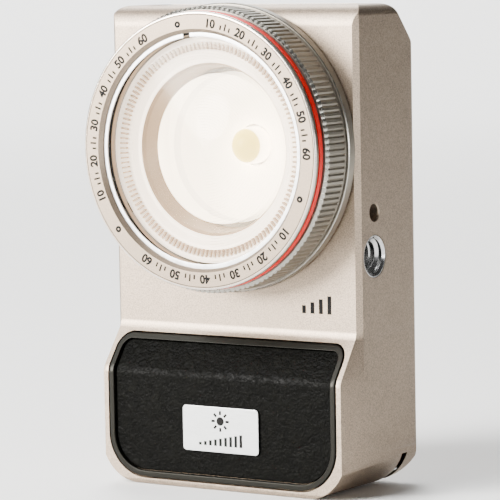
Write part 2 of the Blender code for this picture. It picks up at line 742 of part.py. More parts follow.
def guide_block(name, number, inner, outer, half_width, low, high, material=None):
    """A radial bar of the three that guide the lens barrel, at one of three angles."""
    angle = radians(90 + 120 * number)
    piece = block(name, (inner, -half_width, low), (outer, half_width, high), material)
    spin = Matrix.Rotation(pi / 2, 4, "X") @ Matrix.Rotation(angle, 4, "Z")
    piece.matrix_world = Matrix.Translation(on_lens_axis()) @ spin @ Matrix.Translation(piece.location)
    return piece


def make_focus_ring():
    """The turning ring; its knurl is cut into the finished model only."""
    ring(
        "focus_ring",
        23.4 * MM,
        FOCUS_RING_RADIUS,
        MOUNT_TOP + GAP,
        FOCUS_TOP,
        on_lens_axis(),
        "front",
        "grey_metal",
        72,
        0.6 * MM,
    )


def make_lens_barrel():
    """The sliding part of the lens head: barrel, guide pins, accent ring, front ring and lens."""
    axis = on_lens_axis()
    barrel_profile = [
        (FRONT_RING_RADIUS - 1.1 * MM, 10.0 * MM),
        (FRONT_RING_RADIUS - 1.1 * MM, FOCUS_TOP + GAP),
        (23.1 * MM, FOCUS_TOP + GAP),
        (23.1 * MM, 3.2 * MM),
        (22.4 * MM, 3.2 * MM),
        (22.4 * MM, 8.25 * MM),
        (21.1 * MM, 8.25 * MM),
        (21.1 * MM, 7.5 * MM),
        (20.3 * MM, 7.5 * MM),
        (20.3 * MM, 8.5 * MM),
        (LENS_RADIUS + GAP, 8.5 * MM),
        (LENS_RADIUS + GAP, 10.0 * MM),
    ]
    turned("lens_barrel", barrel_profile, axis, "front", "grey_metal")
    for number in range(3):
        pin_size = (20.6 * MM, 22.1 * MM, 0.7 * MM, 3.8 * MM, 4.8 * MM)
        guide_block(f"guide_pin_{number + 1}", number, *pin_size, "steel")
    ring("red_ring", 23.6 * MM, 24.45 * MM, 9.0 * MM, 10.0 * MM, axis, "front", "red_metal")
    front_profile = [
        (FRONT_RING_RADIUS, HEAD_HEIGHT - 0.4 * MM),
        (FRONT_RING_RADIUS, 10.3 * MM),
        (LENS_OPENING, 10.3 * MM),
        (LENS_OPENING, 10.6 * MM),
        (LENS_OPENING + 0.6 * MM, HEAD_HEIGHT),
        (FRONT_RING_RADIUS - 0.4 * MM, HEAD_HEIGHT),
    ]
    turned("front_ring", front_profile, axis, "front", "champagne_metal")
    disc("fresnel_lens", LENS_RADIUS, 8.8 * MM, 10.0 * MM, axis, "front", "window_glass", sides=RING_SIDES)


make_housing()
make_panel()
make_side_fittings()
make_top()
make_light_engine()
make_electronics()
make_back()
make_lens_head()
make_focus_ring()
make_lens_barrel()
bpy.context.view_layer.update()
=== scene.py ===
from math import atan2, cos, degrees, hypot, pi, radians, sin, tan

import bmesh
import bpy
from mathutils import Matrix, Vector


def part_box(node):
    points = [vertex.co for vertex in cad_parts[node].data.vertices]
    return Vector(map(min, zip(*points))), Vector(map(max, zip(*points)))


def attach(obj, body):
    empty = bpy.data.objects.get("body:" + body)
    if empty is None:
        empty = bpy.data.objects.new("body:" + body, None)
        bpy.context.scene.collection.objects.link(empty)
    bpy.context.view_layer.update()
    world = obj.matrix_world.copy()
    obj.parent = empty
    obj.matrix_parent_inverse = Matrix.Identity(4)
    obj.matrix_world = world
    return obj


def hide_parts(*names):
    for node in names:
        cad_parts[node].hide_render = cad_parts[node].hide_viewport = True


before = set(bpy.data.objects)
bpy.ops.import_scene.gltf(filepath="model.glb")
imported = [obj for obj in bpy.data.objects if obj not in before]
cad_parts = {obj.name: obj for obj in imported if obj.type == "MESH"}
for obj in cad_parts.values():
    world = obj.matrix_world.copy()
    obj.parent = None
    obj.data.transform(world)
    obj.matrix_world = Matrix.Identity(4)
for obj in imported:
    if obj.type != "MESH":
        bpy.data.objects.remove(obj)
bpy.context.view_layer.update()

MM = 0.001

# Places read from the frame, in metres
BODY_LOW, BODY_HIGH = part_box("main_housing")
HALF_WIDTH = BODY_HIGH.x
BACK_Y = BODY_HIGH.y
BULGE_Y = BODY_LOW.y
TOP_Z = BODY_HIGH.z
HEAD_LOW, HEAD_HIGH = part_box("mount_ring")
LENS_Z = (HEAD_LOW.z + HEAD_HIGH.z) / 2
FRONT_Y = HEAD_HIGH.y + 0.3 * MM
PANEL_LOW, PANEL_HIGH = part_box("panel_bezel")
PLATE_LOW, PLATE_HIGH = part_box("name_plate")
INSERT_LOW, INSERT_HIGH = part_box("thread_insert")
THREAD_Y = (INSERT_LOW.y + INSERT_HIGH.y) / 2
THREAD_Z = (INSERT_LOW.z + INSERT_HIGH.z) / 2
COVER_LOW, COVER_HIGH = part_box("rear_cover")
DIAL_LOW, DIAL_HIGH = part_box("dial_knob")
DIAL_Z = (DIAL_LOW.z + DIAL_HIGH.z) / 2
BUTTON_LOW, BUTTON_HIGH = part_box("power_button")
BUTTON_Z = (BUTTON_LOW.z + BUTTON_HIGH.z) / 2

# The body's own shape
SLOPE_TOP = 28.3 * MM
SLOPE_BOTTOM = 20.8 * MM
FACET_TOP_Y = 5.3 * MM
FACET_BOTTOM_Z = 77.5 * MM
EDGE_CUT = 0.9 * MM
BOTTOM_CORNER = 8.4 * MM
TOP_CORNER = 2.0 * MM
EDGE_ROUND = 0.22 * MM
GAP = 0.3 * MM

ARC_STEP = radians(7)
RING_SIDES = 160
SMALL_SIDES = 48

# Turns that lay a shape's own axes along the product's: columns are where its X, Y and Z go
FACING = {
    "side": Matrix(((0, 0, 1), (1, 0, 0), (0, 1, 0))),
    "front": Matrix(((1, 0, 0), (0, 0, -1), (0, 1, 0))),
    "top": Matrix.Identity(3),
    "turned_front": Matrix(((1, 0, 0), (0, -1, 0), (0, 0, -1))),
    "turned_back": Matrix(((1, 0, 0), (0, 1, 0), (0, 0, 1))),
    "turned_right": Matrix(((0, 1, 0), (-1, 0, 0), (0, 0, 1))),
}


# ---------------------------------------------------------------- modelling steps


def deselect():
    bpy.ops.object.select_all(action="DESELECT")


def make_active(piece):
    deselect()
    piece.select_set(True)
    bpy.context.view_layer.objects.active = piece


def edit(piece, kind="VERT"):
    """Opens a piece in edit mode with nothing selected."""
    make_active(piece)
    bpy.ops.object.mode_set(mode="EDIT")
    bpy.ops.mesh.select_mode(type=kind)
    bpy.ops.mesh.select_all(action="DESELECT")


def leave():
    bpy.ops.object.mode_set(mode="OBJECT")


def pick(piece, kind, wanted):
    """Selects the vertices, edges or faces of the piece in edit mode that pass a test."""
    mesh = bmesh.from_edit_mesh(piece.data)
    parts = {"VERT": mesh.verts, "EDGE": mesh.edges, "FACE": mesh.faces}[kind]
    for part in parts:
        part.select_set(bool(wanted(part)))
    mesh.select_flush_mode()
    bmesh.update_edit_mesh(piece.data)


def tidy_mesh(piece, merge=0.000002):
    """Merges doubles and turns every face outwards."""
    edit(piece)
    bpy.ops.mesh.select_all(action="SELECT")
    bpy.ops.mesh.remove_doubles(threshold=merge)
    bpy.ops.mesh.normals_make_consistent(inside=False)
    leave()


def smooth(piece, angle=30.0):
    make_active(piece)
    bpy.ops.object.shade_smooth_by_angle(angle=radians(angle))
    return piece


def apply_modifiers(piece):
    make_active(piece)
    for modifier in list(piece.modifiers):
        bpy.ops.object.modifier_apply(modifier=modifier.name)
    return piece


def outline(name, corners):
    """A flat face with these (x, y, corner radius) corners, in the XY plane."""
    bpy.ops.mesh.primitive_circle_add(vertices=len(corners), fill_type="NGON")
    face = bpy.context.object
    face.name = name
    for vertex, (x, y, _) in zip(face.data.vertices, corners):
        vertex.co = (x, y, 0)
    count = len(corners)
    for index, (x, y, radius) in enumerate(corners):
        if radius <= 0:
            continue
        here = Vector((x, y))
        before = (Vector(corners[index - 1][:2]) - here).normalized()
        after = (Vector(corners[(index + 1) % count][:2]) - here).normalized()
        half_angle = before.angle(after) / 2
        edit(face)
        pick(face, "VERT", lambda v: (v.co - Vector((x, y, 0))).length < 0.000001)
        bpy.ops.mesh.bevel(
            offset=radius / tan(half_angle),
            segments=max(2, round((pi - 2 * half_angle) / ARC_STEP)),
            affect="VERTICES",
            profile=0.5,
        )
        leave()
    return face


def settle(piece, facing, shift=(0, 0, 0)):
    """Turns a finished shape to face a way, moves it to its place and applies both."""
    turn = FACING[facing].to_4x4()
    piece.data.transform(Matrix.Translation(shift) @ turn)
    piece.data.update()
    return piece


def slab(name, corners, low, high, facing):
    """An outline carried from low to high along the direction it faces."""
    piece = outline(name, corners)
    edit(piece)
    bpy.ops.mesh.select_all(action="SELECT")
    bpy.ops.mesh.extrude_region_move(TRANSFORM_OT_translate={"value": (0, 0, high - low)})
    leave()
    if facing == "front":
        low = -high
    piece.data.transform(Matrix.Translation((0, 0, low)))
    settle(piece, facing)
    tidy_mesh(piece)
    return piece


def lathe(name, profile, where=(0, 0, 0), facing="turned_front", sides=RING_SIDES):
    """A turned piece from (radius, height, corner radius) points round its section."""
    piece = outline(name, profile)
    edit(piece, "FACE")
    bpy.ops.mesh.select_all(action="SELECT")
    bpy.ops.mesh.delete(type="ONLY_FACE")
    bpy.ops.mesh.select_mode(type="EDGE")
    pick(piece, "EDGE", lambda e: all(abs(v.co.x) < 1e-7 for v in e.verts))
    bpy.ops.mesh.delete(type="EDGE")
    bpy.ops.mesh.select_all(action="SELECT")
    bpy.ops.mesh.spin(steps=sides, angle=2 * pi, center=(0, 0, 0), axis=(0, 1, 0))
    leave()
    settle(piece, facing, where)
    tidy_mesh(piece)
    return smooth(piece)


def ring_section(inner, outer, low, high, edge=0.0):
    return [(outer, low, edge), (outer, high, edge), (inner, high, edge), (inner, low, edge)]


def disc_section(radius, low, high, edge=0.0):
    return [(0, low, 0), (radius, low, edge), (radius, high, edge), (0, high, 0)]


def block(name, low, high, edge=0.0):
    """A box between two corners, with rounded edges where asked."""
    low, high = Vector(low), Vector(high)
    bpy.ops.mesh.primitive_cube_add(size=1, location=(low + high) / 2, scale=high - low)
    piece = bpy.context.object
    piece.name = name
    make_active(piece)
    bpy.ops.object.transform_apply(location=True, rotation=True, scale=True)
    if edge > 0:
        edit(piece, "EDGE")
        bpy.ops.mesh.select_all(action="SELECT")
        bpy.ops.mesh.bevel(offset=edge, segments=3)
        leave()
    return piece


def carve(piece, cutter, operation="DIFFERENCE", solver="EXACT"):
    """Cuts, joins or intersects a piece with another, which is then removed."""
    step = piece.modifiers.new("Carve", "BOOLEAN")
    step.operation = operation
    step.object = cutter
    step.solver = solver
    apply_modifiers(piece)
    bpy.data.objects.remove(cutter, do_unlink=True)
    return piece


def soften(piece, width, segments=2, angle=28.0):
    """Rounds a piece's sharp edges a little."""
    step = piece.modifiers.new("Soft edges", "BEVEL")
    step.width = width
    step.segments = segments
    step.limit_method = "ANGLE"
    step.angle_limit = radians(angle)
    step.use_clamp_overlap = True
    return apply_modifiers(piece)


def even_shading(piece):
    """Smooth shading that keeps the large flat faces flat."""
    smooth(piece)
    step = piece.modifiers.new("Flat faces", "WEIGHTED_NORMAL")
    step.keep_sharp = True
    step.weight = 80
    return apply_modifiers(piece)


def repeat(piece, count, angle, centre, axis):
    """Repeats a shape along an arc about an axis, as one mesh."""
    edit(piece)
    bpy.ops.mesh.select_all(action="SELECT")
    bpy.ops.mesh.spin(dupli=True, steps=count - 1, angle=angle, center=centre, axis=axis)
    leave()
    return piece


def ring_of(piece, count, centre, axis=(0, 1, 0)):
    """Repeats a shape evenly round an axis, as one mesh."""
    return repeat(piece, count, 2 * pi * (count - 1) / count, centre, axis)


def toothed(count, tip, root, land=0.4):
    """The outline of a knurled ring: flat tips with V-shaped grooves between them."""
    corners = []
    pitch = 2 * pi / count
    for index in range(count):
        middle = index * pitch
        for angle, radius in ((-land / 2, tip), (land / 2, tip), (0.5, root)):
            turn = middle + angle * pitch
            corners.append((radius * cos(turn), radius * sin(turn), 0))
    return corners


def ink_bar(width, height, where, turn=0.0, thick=0.03 * MM):
    """A flat printed bar in the XY plane, turned and placed there."""
    bpy.ops.mesh.primitive_plane_add(size=1)
    bar = bpy.context.object
    bar.data.transform(Matrix.Diagonal((width, height, 1, 1)))
    edit(bar)
    bpy.ops.mesh.select_all(action="SELECT")
    bpy.ops.mesh.extrude_region_move(TRANSFORM_OT_translate={"value": (0, 0, thick)})
    bpy.ops.mesh.select_all(action="SELECT")
    bpy.ops.mesh.normals_make_consistent(inside=False)
    leave()
    bar.data.transform(Matrix.Translation((*where, 0)) @ Matrix.Rotation(turn, 4, "Z"))
    return bar


def ink_disc(outer, where, inner=0.0, thick=0.03 * MM):
    """A flat printed dot or ring in the XY plane."""
    section = ring_section(inner, outer, 0, thick) if inner > 0 else disc_section(outer, 0, thick)
    dot = lathe("dot", section, facing="turned_back", sides=32)
    dot.data.transform(Matrix.Translation((*where, 0)) @ Matrix.Rotation(pi / 2, 4, "X"))
    return dot


def ink_number(words, size, where, turn=0.0, thick=0.03 * MM):
    """A printed number in the XY plane."""
    bpy.ops.object.text_add()
    number = bpy.context.object
    number.data.body = words
    number.data.size = size
    number.data.extrude = thick / 2
    number.data.offset = 0.08 * MM
    number.data.align_x = "CENTER"
    number.data.align_y = "CENTER"
    number.data.resolution_u = 4
    make_active(number)
    bpy.ops.object.convert(target="MESH")
    number = bpy.context.object
    number.data.transform(Matrix.Translation((*where, thick / 2)) @ Matrix.Rotation(turn, 4, "Z"))
    return number


def join(name, pieces):
    """Makes several meshes one piece."""
    make_active(pieces[0])
    for piece in pieces[1:]:
        piece.select_set(True)
    if len(pieces) > 1:
        bpy.ops.object.join()
    pieces[0].name = name
    return pieces[0]


def dress(piece, material, slot, body, *nodes):
    """Gives a piece its material and body, and hides the CAD nodes it stands for. The slot is not used."""
    piece.data.materials.clear()
    piece.data.materials.append(material)
    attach(piece, body)
    if nodes:
        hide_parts(*nodes)
    return piece


def paint(piece, material, wanted):
    """Gives the faces that pass a test on centre and normal a second material."""
    piece.data.materials.append(material)
    index = len(piece.data.materials) - 1
    for face in piece.data.polygons:
        if wanted(face.center, face.normal):
            face.material_index = index
    return piece


# ---------------------------------------------------------------- finishes


class Finish:
    """A material with one Principled shader, and short ways to add its pattern."""

    def __init__(self, name, colour, roughness, metallic=0.0):
        self.material = bpy.data.materials.new(name)
        self.material.use_nodes = True
        self.tree = self.material.node_tree
        self.shader = self.tree.nodes["Principled BSDF"]
        self.set("Base Color", (*colour, 1.0))
        self.set("Roughness", roughness)
        self.set("Metallic", metallic)
        self.colour = colour
        self.roughness = roughness
        self.place = self.add("ShaderNodeTexCoord").outputs["Object"]

    def add(self, kind, **settings):
        node = self.tree.nodes.new(kind)
        for key, value in settings.items():
            setattr(node, key, value)
        return node

    def link(self, output, node, socket):
        self.tree.links.new(output, node.inputs[socket])

    def set(self, socket, value):
        self.shader.inputs[socket].default_value = value

    def stretched(self, scale):
        """Object coordinates stretched by a scale on each axis."""
        mapping = self.add("ShaderNodeMapping")
        mapping.inputs["Scale"].default_value = scale
        self.link(self.place, mapping, "Vector")
        return mapping.outputs["Vector"]

    def noise(self, scale, detail=2.0, rough=0.5, vector=None, distortion=0.0):
        node = self.add("ShaderNodeTexNoise")
        node.inputs["Scale"].default_value = scale
        node.inputs["Detail"].default_value = detail
        node.inputs["Roughness"].default_value = rough
        node.inputs["Distortion"].default_value = distortion
        self.link(vector or self.place, node, "Vector")
        return node.outputs["Fac"]

    def cells(self, scale, feature="F1", output="Distance", vector=None):
        node = self.add("ShaderNodeTexVoronoi", feature=feature)
        node.inputs["Scale"].default_value = scale
        self.link(vector or self.place, node, "Vector")
        return node.outputs[output]

    def span(self, value, low, high, to_low, to_high):
        node = self.add("ShaderNodeMapRange")
        self.link(value, node, "Value")
        for socket, number in zip(("From Min", "From Max", "To Min", "To Max"), (low, high, to_low, to_high)):
            node.inputs[socket].default_value = number
        return node.outputs["Result"]

    def both(self, first, second, operation="ADD", share=0.5):
        node = self.add("ShaderNodeMath", operation=operation)
        self.link(first, node, 0)
        if second is None:
            node.inputs[1].default_value = share
        else:
            self.link(second, node, 1)
        return node.outputs["Value"]

    def shades(self, value, low_colour, high_colour, low=0.0, high=1.0):
        """The base colour runs between two colours as a value runs from low to high."""
        ramp = self.add("ShaderNodeValToRGB")
        ramp.color_ramp.elements[0].position = low
        ramp.color_ramp.elements[0].color = (*low_colour, 1.0)
        ramp.color_ramp.elements[1].position = high
        ramp.color_ramp.elements[1].color = (*high_colour, 1.0)
        self.link(value, ramp, "Fac")
        self.link(ramp.outputs["Color"], self.shader, "Base Color")
        return ramp.outputs["Color"]

    def rough(self, value, low=0.0, high=1.0, spread=0.06):
        output = self.span(value, low, high, self.roughness - spread, self.roughness + spread)
        self.link(output, self.shader, "Roughness")

    def relief(self, value, depth, strength=0.6):
        bump = self.add("ShaderNodeBump")
        bump.inputs["Distance"].default_value = depth
        bump.inputs["Strength"].default_value = strength
        self.link(value, bump, "Height")
        self.link(bump.outputs["Normal"], self.shader, "Normal")


def scaled(colour, factor):
    return tuple(min(1.0, channel * factor) for channel in colour)


def blasted_metal(name, colour, roughness, metallic, grain=4300.0, contrast=0.3, depth=0.006 * MM):
    """Bead-blasted and anodised metal: fine even grain with a faint cloudiness."""
    skin = Finish(name, colour, roughness, metallic)
    fine = skin.noise(grain, 3.0, 0.7)
    cloud = skin.noise(260.0, 3.0, 0.5)
    blend = skin.both(skin.both(fine, None, "MULTIPLY", 0.93), skin.both(cloud, None, "MULTIPLY", 0.07))
    skin.shades(blend, scaled(colour, 1 - contrast), scaled(colour, 1 + contrast), 0.38, 0.62)
    skin.rough(fine, 0.3, 0.7, 0.05)
    skin.relief(fine, depth, 0.5)
    return skin.material


def turned_metal(name, colour, roughness, metallic=1.0, stretch=(600.0, 9000.0, 600.0), contrast=0.12):
    """Machined metal with fine lines along the cut."""
    skin = Finish(name, colour, roughness, metallic)
    lines = skin.noise(1.0, 3.0, 0.6, skin.stretched(stretch))
    skin.shades(lines, scaled(colour, 1 - contrast), scaled(colour, 1 + contrast), 0.35, 0.65)
    skin.rough(lines, 0.3, 0.7, 0.05)
    skin.relief(lines, 0.002 * MM, 0.3)
    return skin.material


def moulded_plastic(name, colour, roughness, grain=4200.0, contrast=0.08, glow=0.0, shine=0.5):
    """Moulded plastic with a fine spark-eroded texture."""
    skin = Finish(name, colour, roughness)
    texture = skin.noise(grain, 2.0, 0.6)
    skin.shades(texture, scaled(colour, 1 - contrast), scaled(colour, 1 + contrast), 0.3, 0.7)
    skin.rough(texture, 0.3, 0.7, 0.06)
    skin.relief(texture, 0.004 * MM, 0.35)
    skin.set("Specular IOR Level", shine)
    # A glow gives the part light of its own; on parts that are no lamp it is painted light
    if glow > 0:
        skin.set("Emission Color", (*colour, 1.0))
        skin.set("Emission Strength", glow)
    return skin.material


def creased_leather(name, colour, roughness):
    """Fine black leather: small pebbles between long soft creases."""
    skin = Finish(name, colour, roughness)
    pebbles = skin.cells(2300.0, "SMOOTH_F1")
    creases = skin.noise(1.0, 5.0, 0.65, skin.stretched((620.0, 800.0, 950.0)), 1.2)
    crease_line = skin.span(skin.both(creases, None, "SUBTRACT", 0.5), -0.04, 0.04, 0.0, 1.0)
    folds = skin.noise(170.0, 4.0, 0.6, distortion=1.5)
    height = skin.both(skin.both(pebbles, None, "MULTIPLY", -0.5), skin.both(crease_line, None, "MULTIPLY", 0.22))
    height = skin.both(height, folds)
    # The colour follows the height: painted shade in the lower parts between pebbles and creases, painted highlight on
    # the raised parts
    skin.shades(height, scaled(colour, 0.6), scaled(colour, 1.6), 0.25, 0.85)
    skin.rough(folds, 0.3, 0.7, 0.1)
    skin.set("Specular IOR Level", 0.035)
    skin.relief(height, 0.16 * MM, 1.0)
    return skin.material


def clear_sheet(name, tint, gloss_roughness, share):
    """Clear thin glass: what is behind shows through, with a gloss that grows at the rim."""
    skin = Finish(name, tint, gloss_roughness)
    tree = skin.tree
    clear = skin.add("ShaderNodeBsdfTransparent")
    clear.inputs["Color"].default_value = (*tint, 1.0)
    gloss = skin.add("ShaderNodeBsdfGlossy")
    gloss.inputs["Color"].default_value = (1.0, 1.0, 1.0, 1.0)
    gloss.inputs["Roughness"].default_value = gloss_roughness
    facing = skin.add("ShaderNodeLayerWeight")
    facing.inputs["Blend"].default_value = 0.25
    amount = skin.span(facing.outputs["Fresnel"], 0.0, 1.0, 0.0, share)
    mix = skin.add("ShaderNodeMixShader")
    skin.link(amount, mix, "Fac")
    tree.links.new(clear.outputs["BSDF"], mix.inputs[1])
    tree.links.new(gloss.outputs["BSDF"], mix.inputs[2])
    tree.links.new(mix.outputs["Shader"], tree.nodes["Material Output"].inputs["Surface"])
    tree.nodes.remove(skin.shader)
    return skin.material


CHAMPAGNE = (0.32, 0.252, 0.19)
RING_GREY = (0.295, 0.268, 0.222)

FINISH = {
    "champagne": blasted_metal("champagne_metal", CHAMPAGNE, 0.44, 0.9),
    "ring_face": blasted_metal("ring_face_metal", (0.26, 0.203, 0.15), 0.40, 0.8, 5200.0, 0.16, 0.003 * MM),
    # Painted highlight: lighter, shinier metal laid on the ring edges that face forwards and catch the light
    "champagne_painted_highlight": turned_metal("champagne_painted_highlight_metal", (0.72, 0.655, 0.59), 0.22, 0.9),
    "grey": blasted_metal("grey_metal", RING_GREY, 0.40, 0.8, 6000.0, 0.07, 0.003 * MM),
    # Painted highlight: lighter, shinier grey laid on the forward-facing chamfers of the grey rings
    "grey_painted_highlight": turned_metal("grey_painted_highlight_metal", (0.40, 0.385, 0.34), 0.25, 0.95),
    # Painted shade: near-black for the shadowed gaps between the lens rings and for the groove in the front ring
    "groove": moulded_plastic("groove_black", (0.008, 0.008, 0.008), 0.5, shine=0.15),
    "red": blasted_metal("red_metal", (0.80, 0.006, 0.003), 0.4, 0.2, 6000.0, 0.05, 0.002 * MM),
    "trim": blasted_metal("dark_trim_metal", (0.007, 0.0065, 0.0045), 0.36, 0.8, 6000.0, 0.08, 0.002 * MM),
    "leather": creased_leather("black_leather", (0.0016, 0.0016, 0.0011), 0.42),
    "plate": turned_metal("silver_plate_metal", (0.62, 0.63, 0.62), 0.32, 0.75, (500.0, 500.0, 9000.0), 0.05),
    "ink": moulded_plastic("black_ink", (0.006, 0.0055, 0.005), 0.6, shine=0.08),
    "steel": turned_metal("steel", (0.60, 0.60, 0.60), 0.2, 1.0, (9000.0, 600.0, 600.0)),
    # Painted light: this white plastic glows, so the funnel inside the lens head looks brightly lit though it is no
    # lamp
    "white_painted_glow": moulded_plastic("white_plastic", (0.92, 0.83, 0.74), 0.35, glow=1.7),
    # Painted light: this tan plastic glows a little, and its darker tan stands in for shade on walls inside the lens
    # head
    "tan_painted_glow": moulded_plastic("tan_plastic_painted_glow", (0.46, 0.34, 0.23), 0.35, glow=0.2),
    # Painted light: the reflector dish glows strongly, so it looks lit though it is no lamp
    "dish": moulded_plastic("dish_white_painted_glow", (0.95, 0.87, 0.76), 0.3, glow=6.0),
    "phosphor": moulded_plastic("led_phosphor", (0.90, 0.76, 0.20), 0.4, glow=2.3),
    "black": moulded_plastic("black_plastic", (0.02, 0.02, 0.02), 0.45),
    "board": moulded_plastic("circuit_board_green", (0.015, 0.10, 0.045), 0.4),
    "bare": turned_metal("bare_aluminium", (0.6, 0.6, 0.6), 0.35),
    "wrap": moulded_plastic("battery_wrap_blue", (0.08, 0.17, 0.32), 0.35),
    "copper": turned_metal("copper_wire", (0.55, 0.25, 0.1), 0.35, 0.9, (600.0, 600.0, 7000.0)),
    "lens": clear_sheet("clear_lens", (0.99, 0.97, 0.94), 0.12, 0.45),
    "window": clear_sheet("clear_window", (0.99, 0.975, 0.95), 0.04, 1.0),
    "lit_mark": moulded_plastic("lit_mark_white", (0.75, 0.78, 0.8), 0.4, glow=0.2),
    "smoked": moulded_plastic("smoked_gloss", (0.018, 0.02, 0.028), 0.06, 900.0, 0.03),
}


# ---------------------------------------------------------------- body


def side_outline(inset=0.0):
    return [
        (BULGE_Y, 0, 1.0 * MM),
        (BACK_Y, 0, 7.0 * MM),
        (BACK_Y, FACET_BOTTOM_Z, 3.5 * MM),
        (FACET_TOP_Y, TOP_Z, 4.0 * MM),
        (FRONT_Y, TOP_Z, 3.8 * MM),
        (FRONT_Y, SLOPE_TOP, 2.5 * MM),
        (BULGE_Y, SLOPE_BOTTOM, 2.5 * MM),
    ]


def edge_cut_width(y):
    """Half width of the body's front part at a depth: cut at 45 degrees, then nearly straight."""
    behind = FRONT_Y + EDGE_CUT
    cut = min(max(behind - y, 0.0), EDGE_CUT)
    bulge = max(0.0, (FRONT_Y - y) / (FRONT_Y - BULGE_Y))
    return HALF_WIDTH - cut + 0.1 * MM * bulge


def body_form():
    """The body's outer form, before its openings are cut."""
    form = slab("body_shell", side_outline(), -HALF_WIDTH, HALF_WIDTH, "side")
    behind = FRONT_Y + EDGE_CUT
    heights = sorted({round(v.co.z, 6) for v in form.data.vertices if v.co.y < behind and 2 * MM < v.co.z < 85.9 * MM})
    for height in heights:
        edit(form)
        bpy.ops.mesh.select_all(action="SELECT")
        bpy.ops.mesh.bisect(plane_co=(0, 0, height), plane_no=(0, 0, 1))
        leave()
    edit(form)
    bpy.ops.mesh.select_all(action="SELECT")
    bpy.ops.mesh.bisect(plane_co=(0, behind, 0), plane_no=(0, 1, 0))
    leave()
    for vertex in form.data.vertices:
        if vertex.co.y < behind - 0.000001:
            side = 1 if vertex.co.x > 0 else -1
            vertex.co.x = side * edge_cut_width(vertex.co.y)
    tidy_mesh(form)
    front = [
        (-HALF_WIDTH, 0, BOTTOM_CORNER),
        (HALF_WIDTH, 0, BOTTOM_CORNER),
        (HALF_WIDTH, TOP_Z, TOP_CORNER),
        (-HALF_WIDTH, TOP_Z, TOP_CORNER),
    ]
    carve(form, slab("front_form", front, -30 * MM, 30 * MM, "front"), "INTERSECT")
    plan = [
        (-HALF_WIDTH, -30 * MM, 0),
        (HALF_WIDTH, -30 * MM, 0),
        (HALF_WIDTH, BACK_Y, 2.0 * MM),
        (-HALF_WIDTH, BACK_Y, 2.0 * MM),
    ]
    carve(form, slab("plan_form", plan, -10 * MM, 100 * MM, "top"), "INTERSECT")
    tidy_mesh(form, 0.00002)
    return soften(form, EDGE_ROUND, 2)


def rounded_rectangle(half_width, low, high, radius, low_radius=None):
    low_radius = radius if low_radius is None else low_radius
    return [
        (-half_width, low, low_radius),
        (half_width, low, low_radius),
        (half_width, high, radius),
        (-half_width, high, radius),
    ]


def bulge_layer(name, grow, outer, inner, low_radius=7.6 * MM, high_radius=2.6 * MM):
    """A layer that follows the bulge's face and slope within the panel's outline."""
    slope = atan2(SLOPE_TOP - SLOPE_BOTTOM, FRONT_Y - BULGE_Y)
    top_y = BULGE_Y + (PANEL_HIGH.z - SLOPE_BOTTOM) / tan(slope)
    beyond = 3.0 * MM

    def surface(offset):
        corner_z = SLOPE_BOTTOM + offset * tan((pi / 2 - slope) / 2)
        end_y = top_y + beyond * cos(slope) - offset * sin(slope)
        end_z = PANEL_HIGH.z + beyond * sin(slope) + offset * cos(slope)
        return [(BULGE_Y - offset, -beyond, 0), (BULGE_Y - offset, corner_z, 2.5 * MM), (end_y, end_z, 0)]

    layer = slab(name, surface(outer) + surface(inner)[::-1], -HALF_WIDTH, HALF_WIDTH, "side")
    frame_outline = rounded_rectangle(
        PANEL_HIGH.x + grow,
        PANEL_LOW.z - grow,
        PANEL_HIGH.z + grow,
        high_radius + grow,
        low_radius + grow,
    )
    return carve(layer, slab(name + "_outline", frame_outline, -30 * MM, 30 * MM, "front"), "INTERSECT")


def lens_axis(forward=0.0):
    return (0.0, FRONT_Y - forward, LENS_Z)


def body_hollow():
    inner = HALF_WIDTH - 1.75 * MM
    front = BULGE_Y + 2.6 * MM
    wall_y = FRONT_Y + 1.75 * MM
    section = [
        (front, 6.2 * MM, 0),
        (10.2 * MM, 6.2 * MM, 1.5 * MM),
        (10.2 * MM, 77.4 * MM, 1.0 * MM),
        (3.2 * MM, 84.0 * MM, 1.0 * MM),
        (wall_y, 84.0 * MM, 1.5 * MM),
        (wall_y, 26.2 * MM, 0),
        (front, 19.8 * MM, 0),
    ]
    return slab("body_hollow", section, -inner, inner, "side")


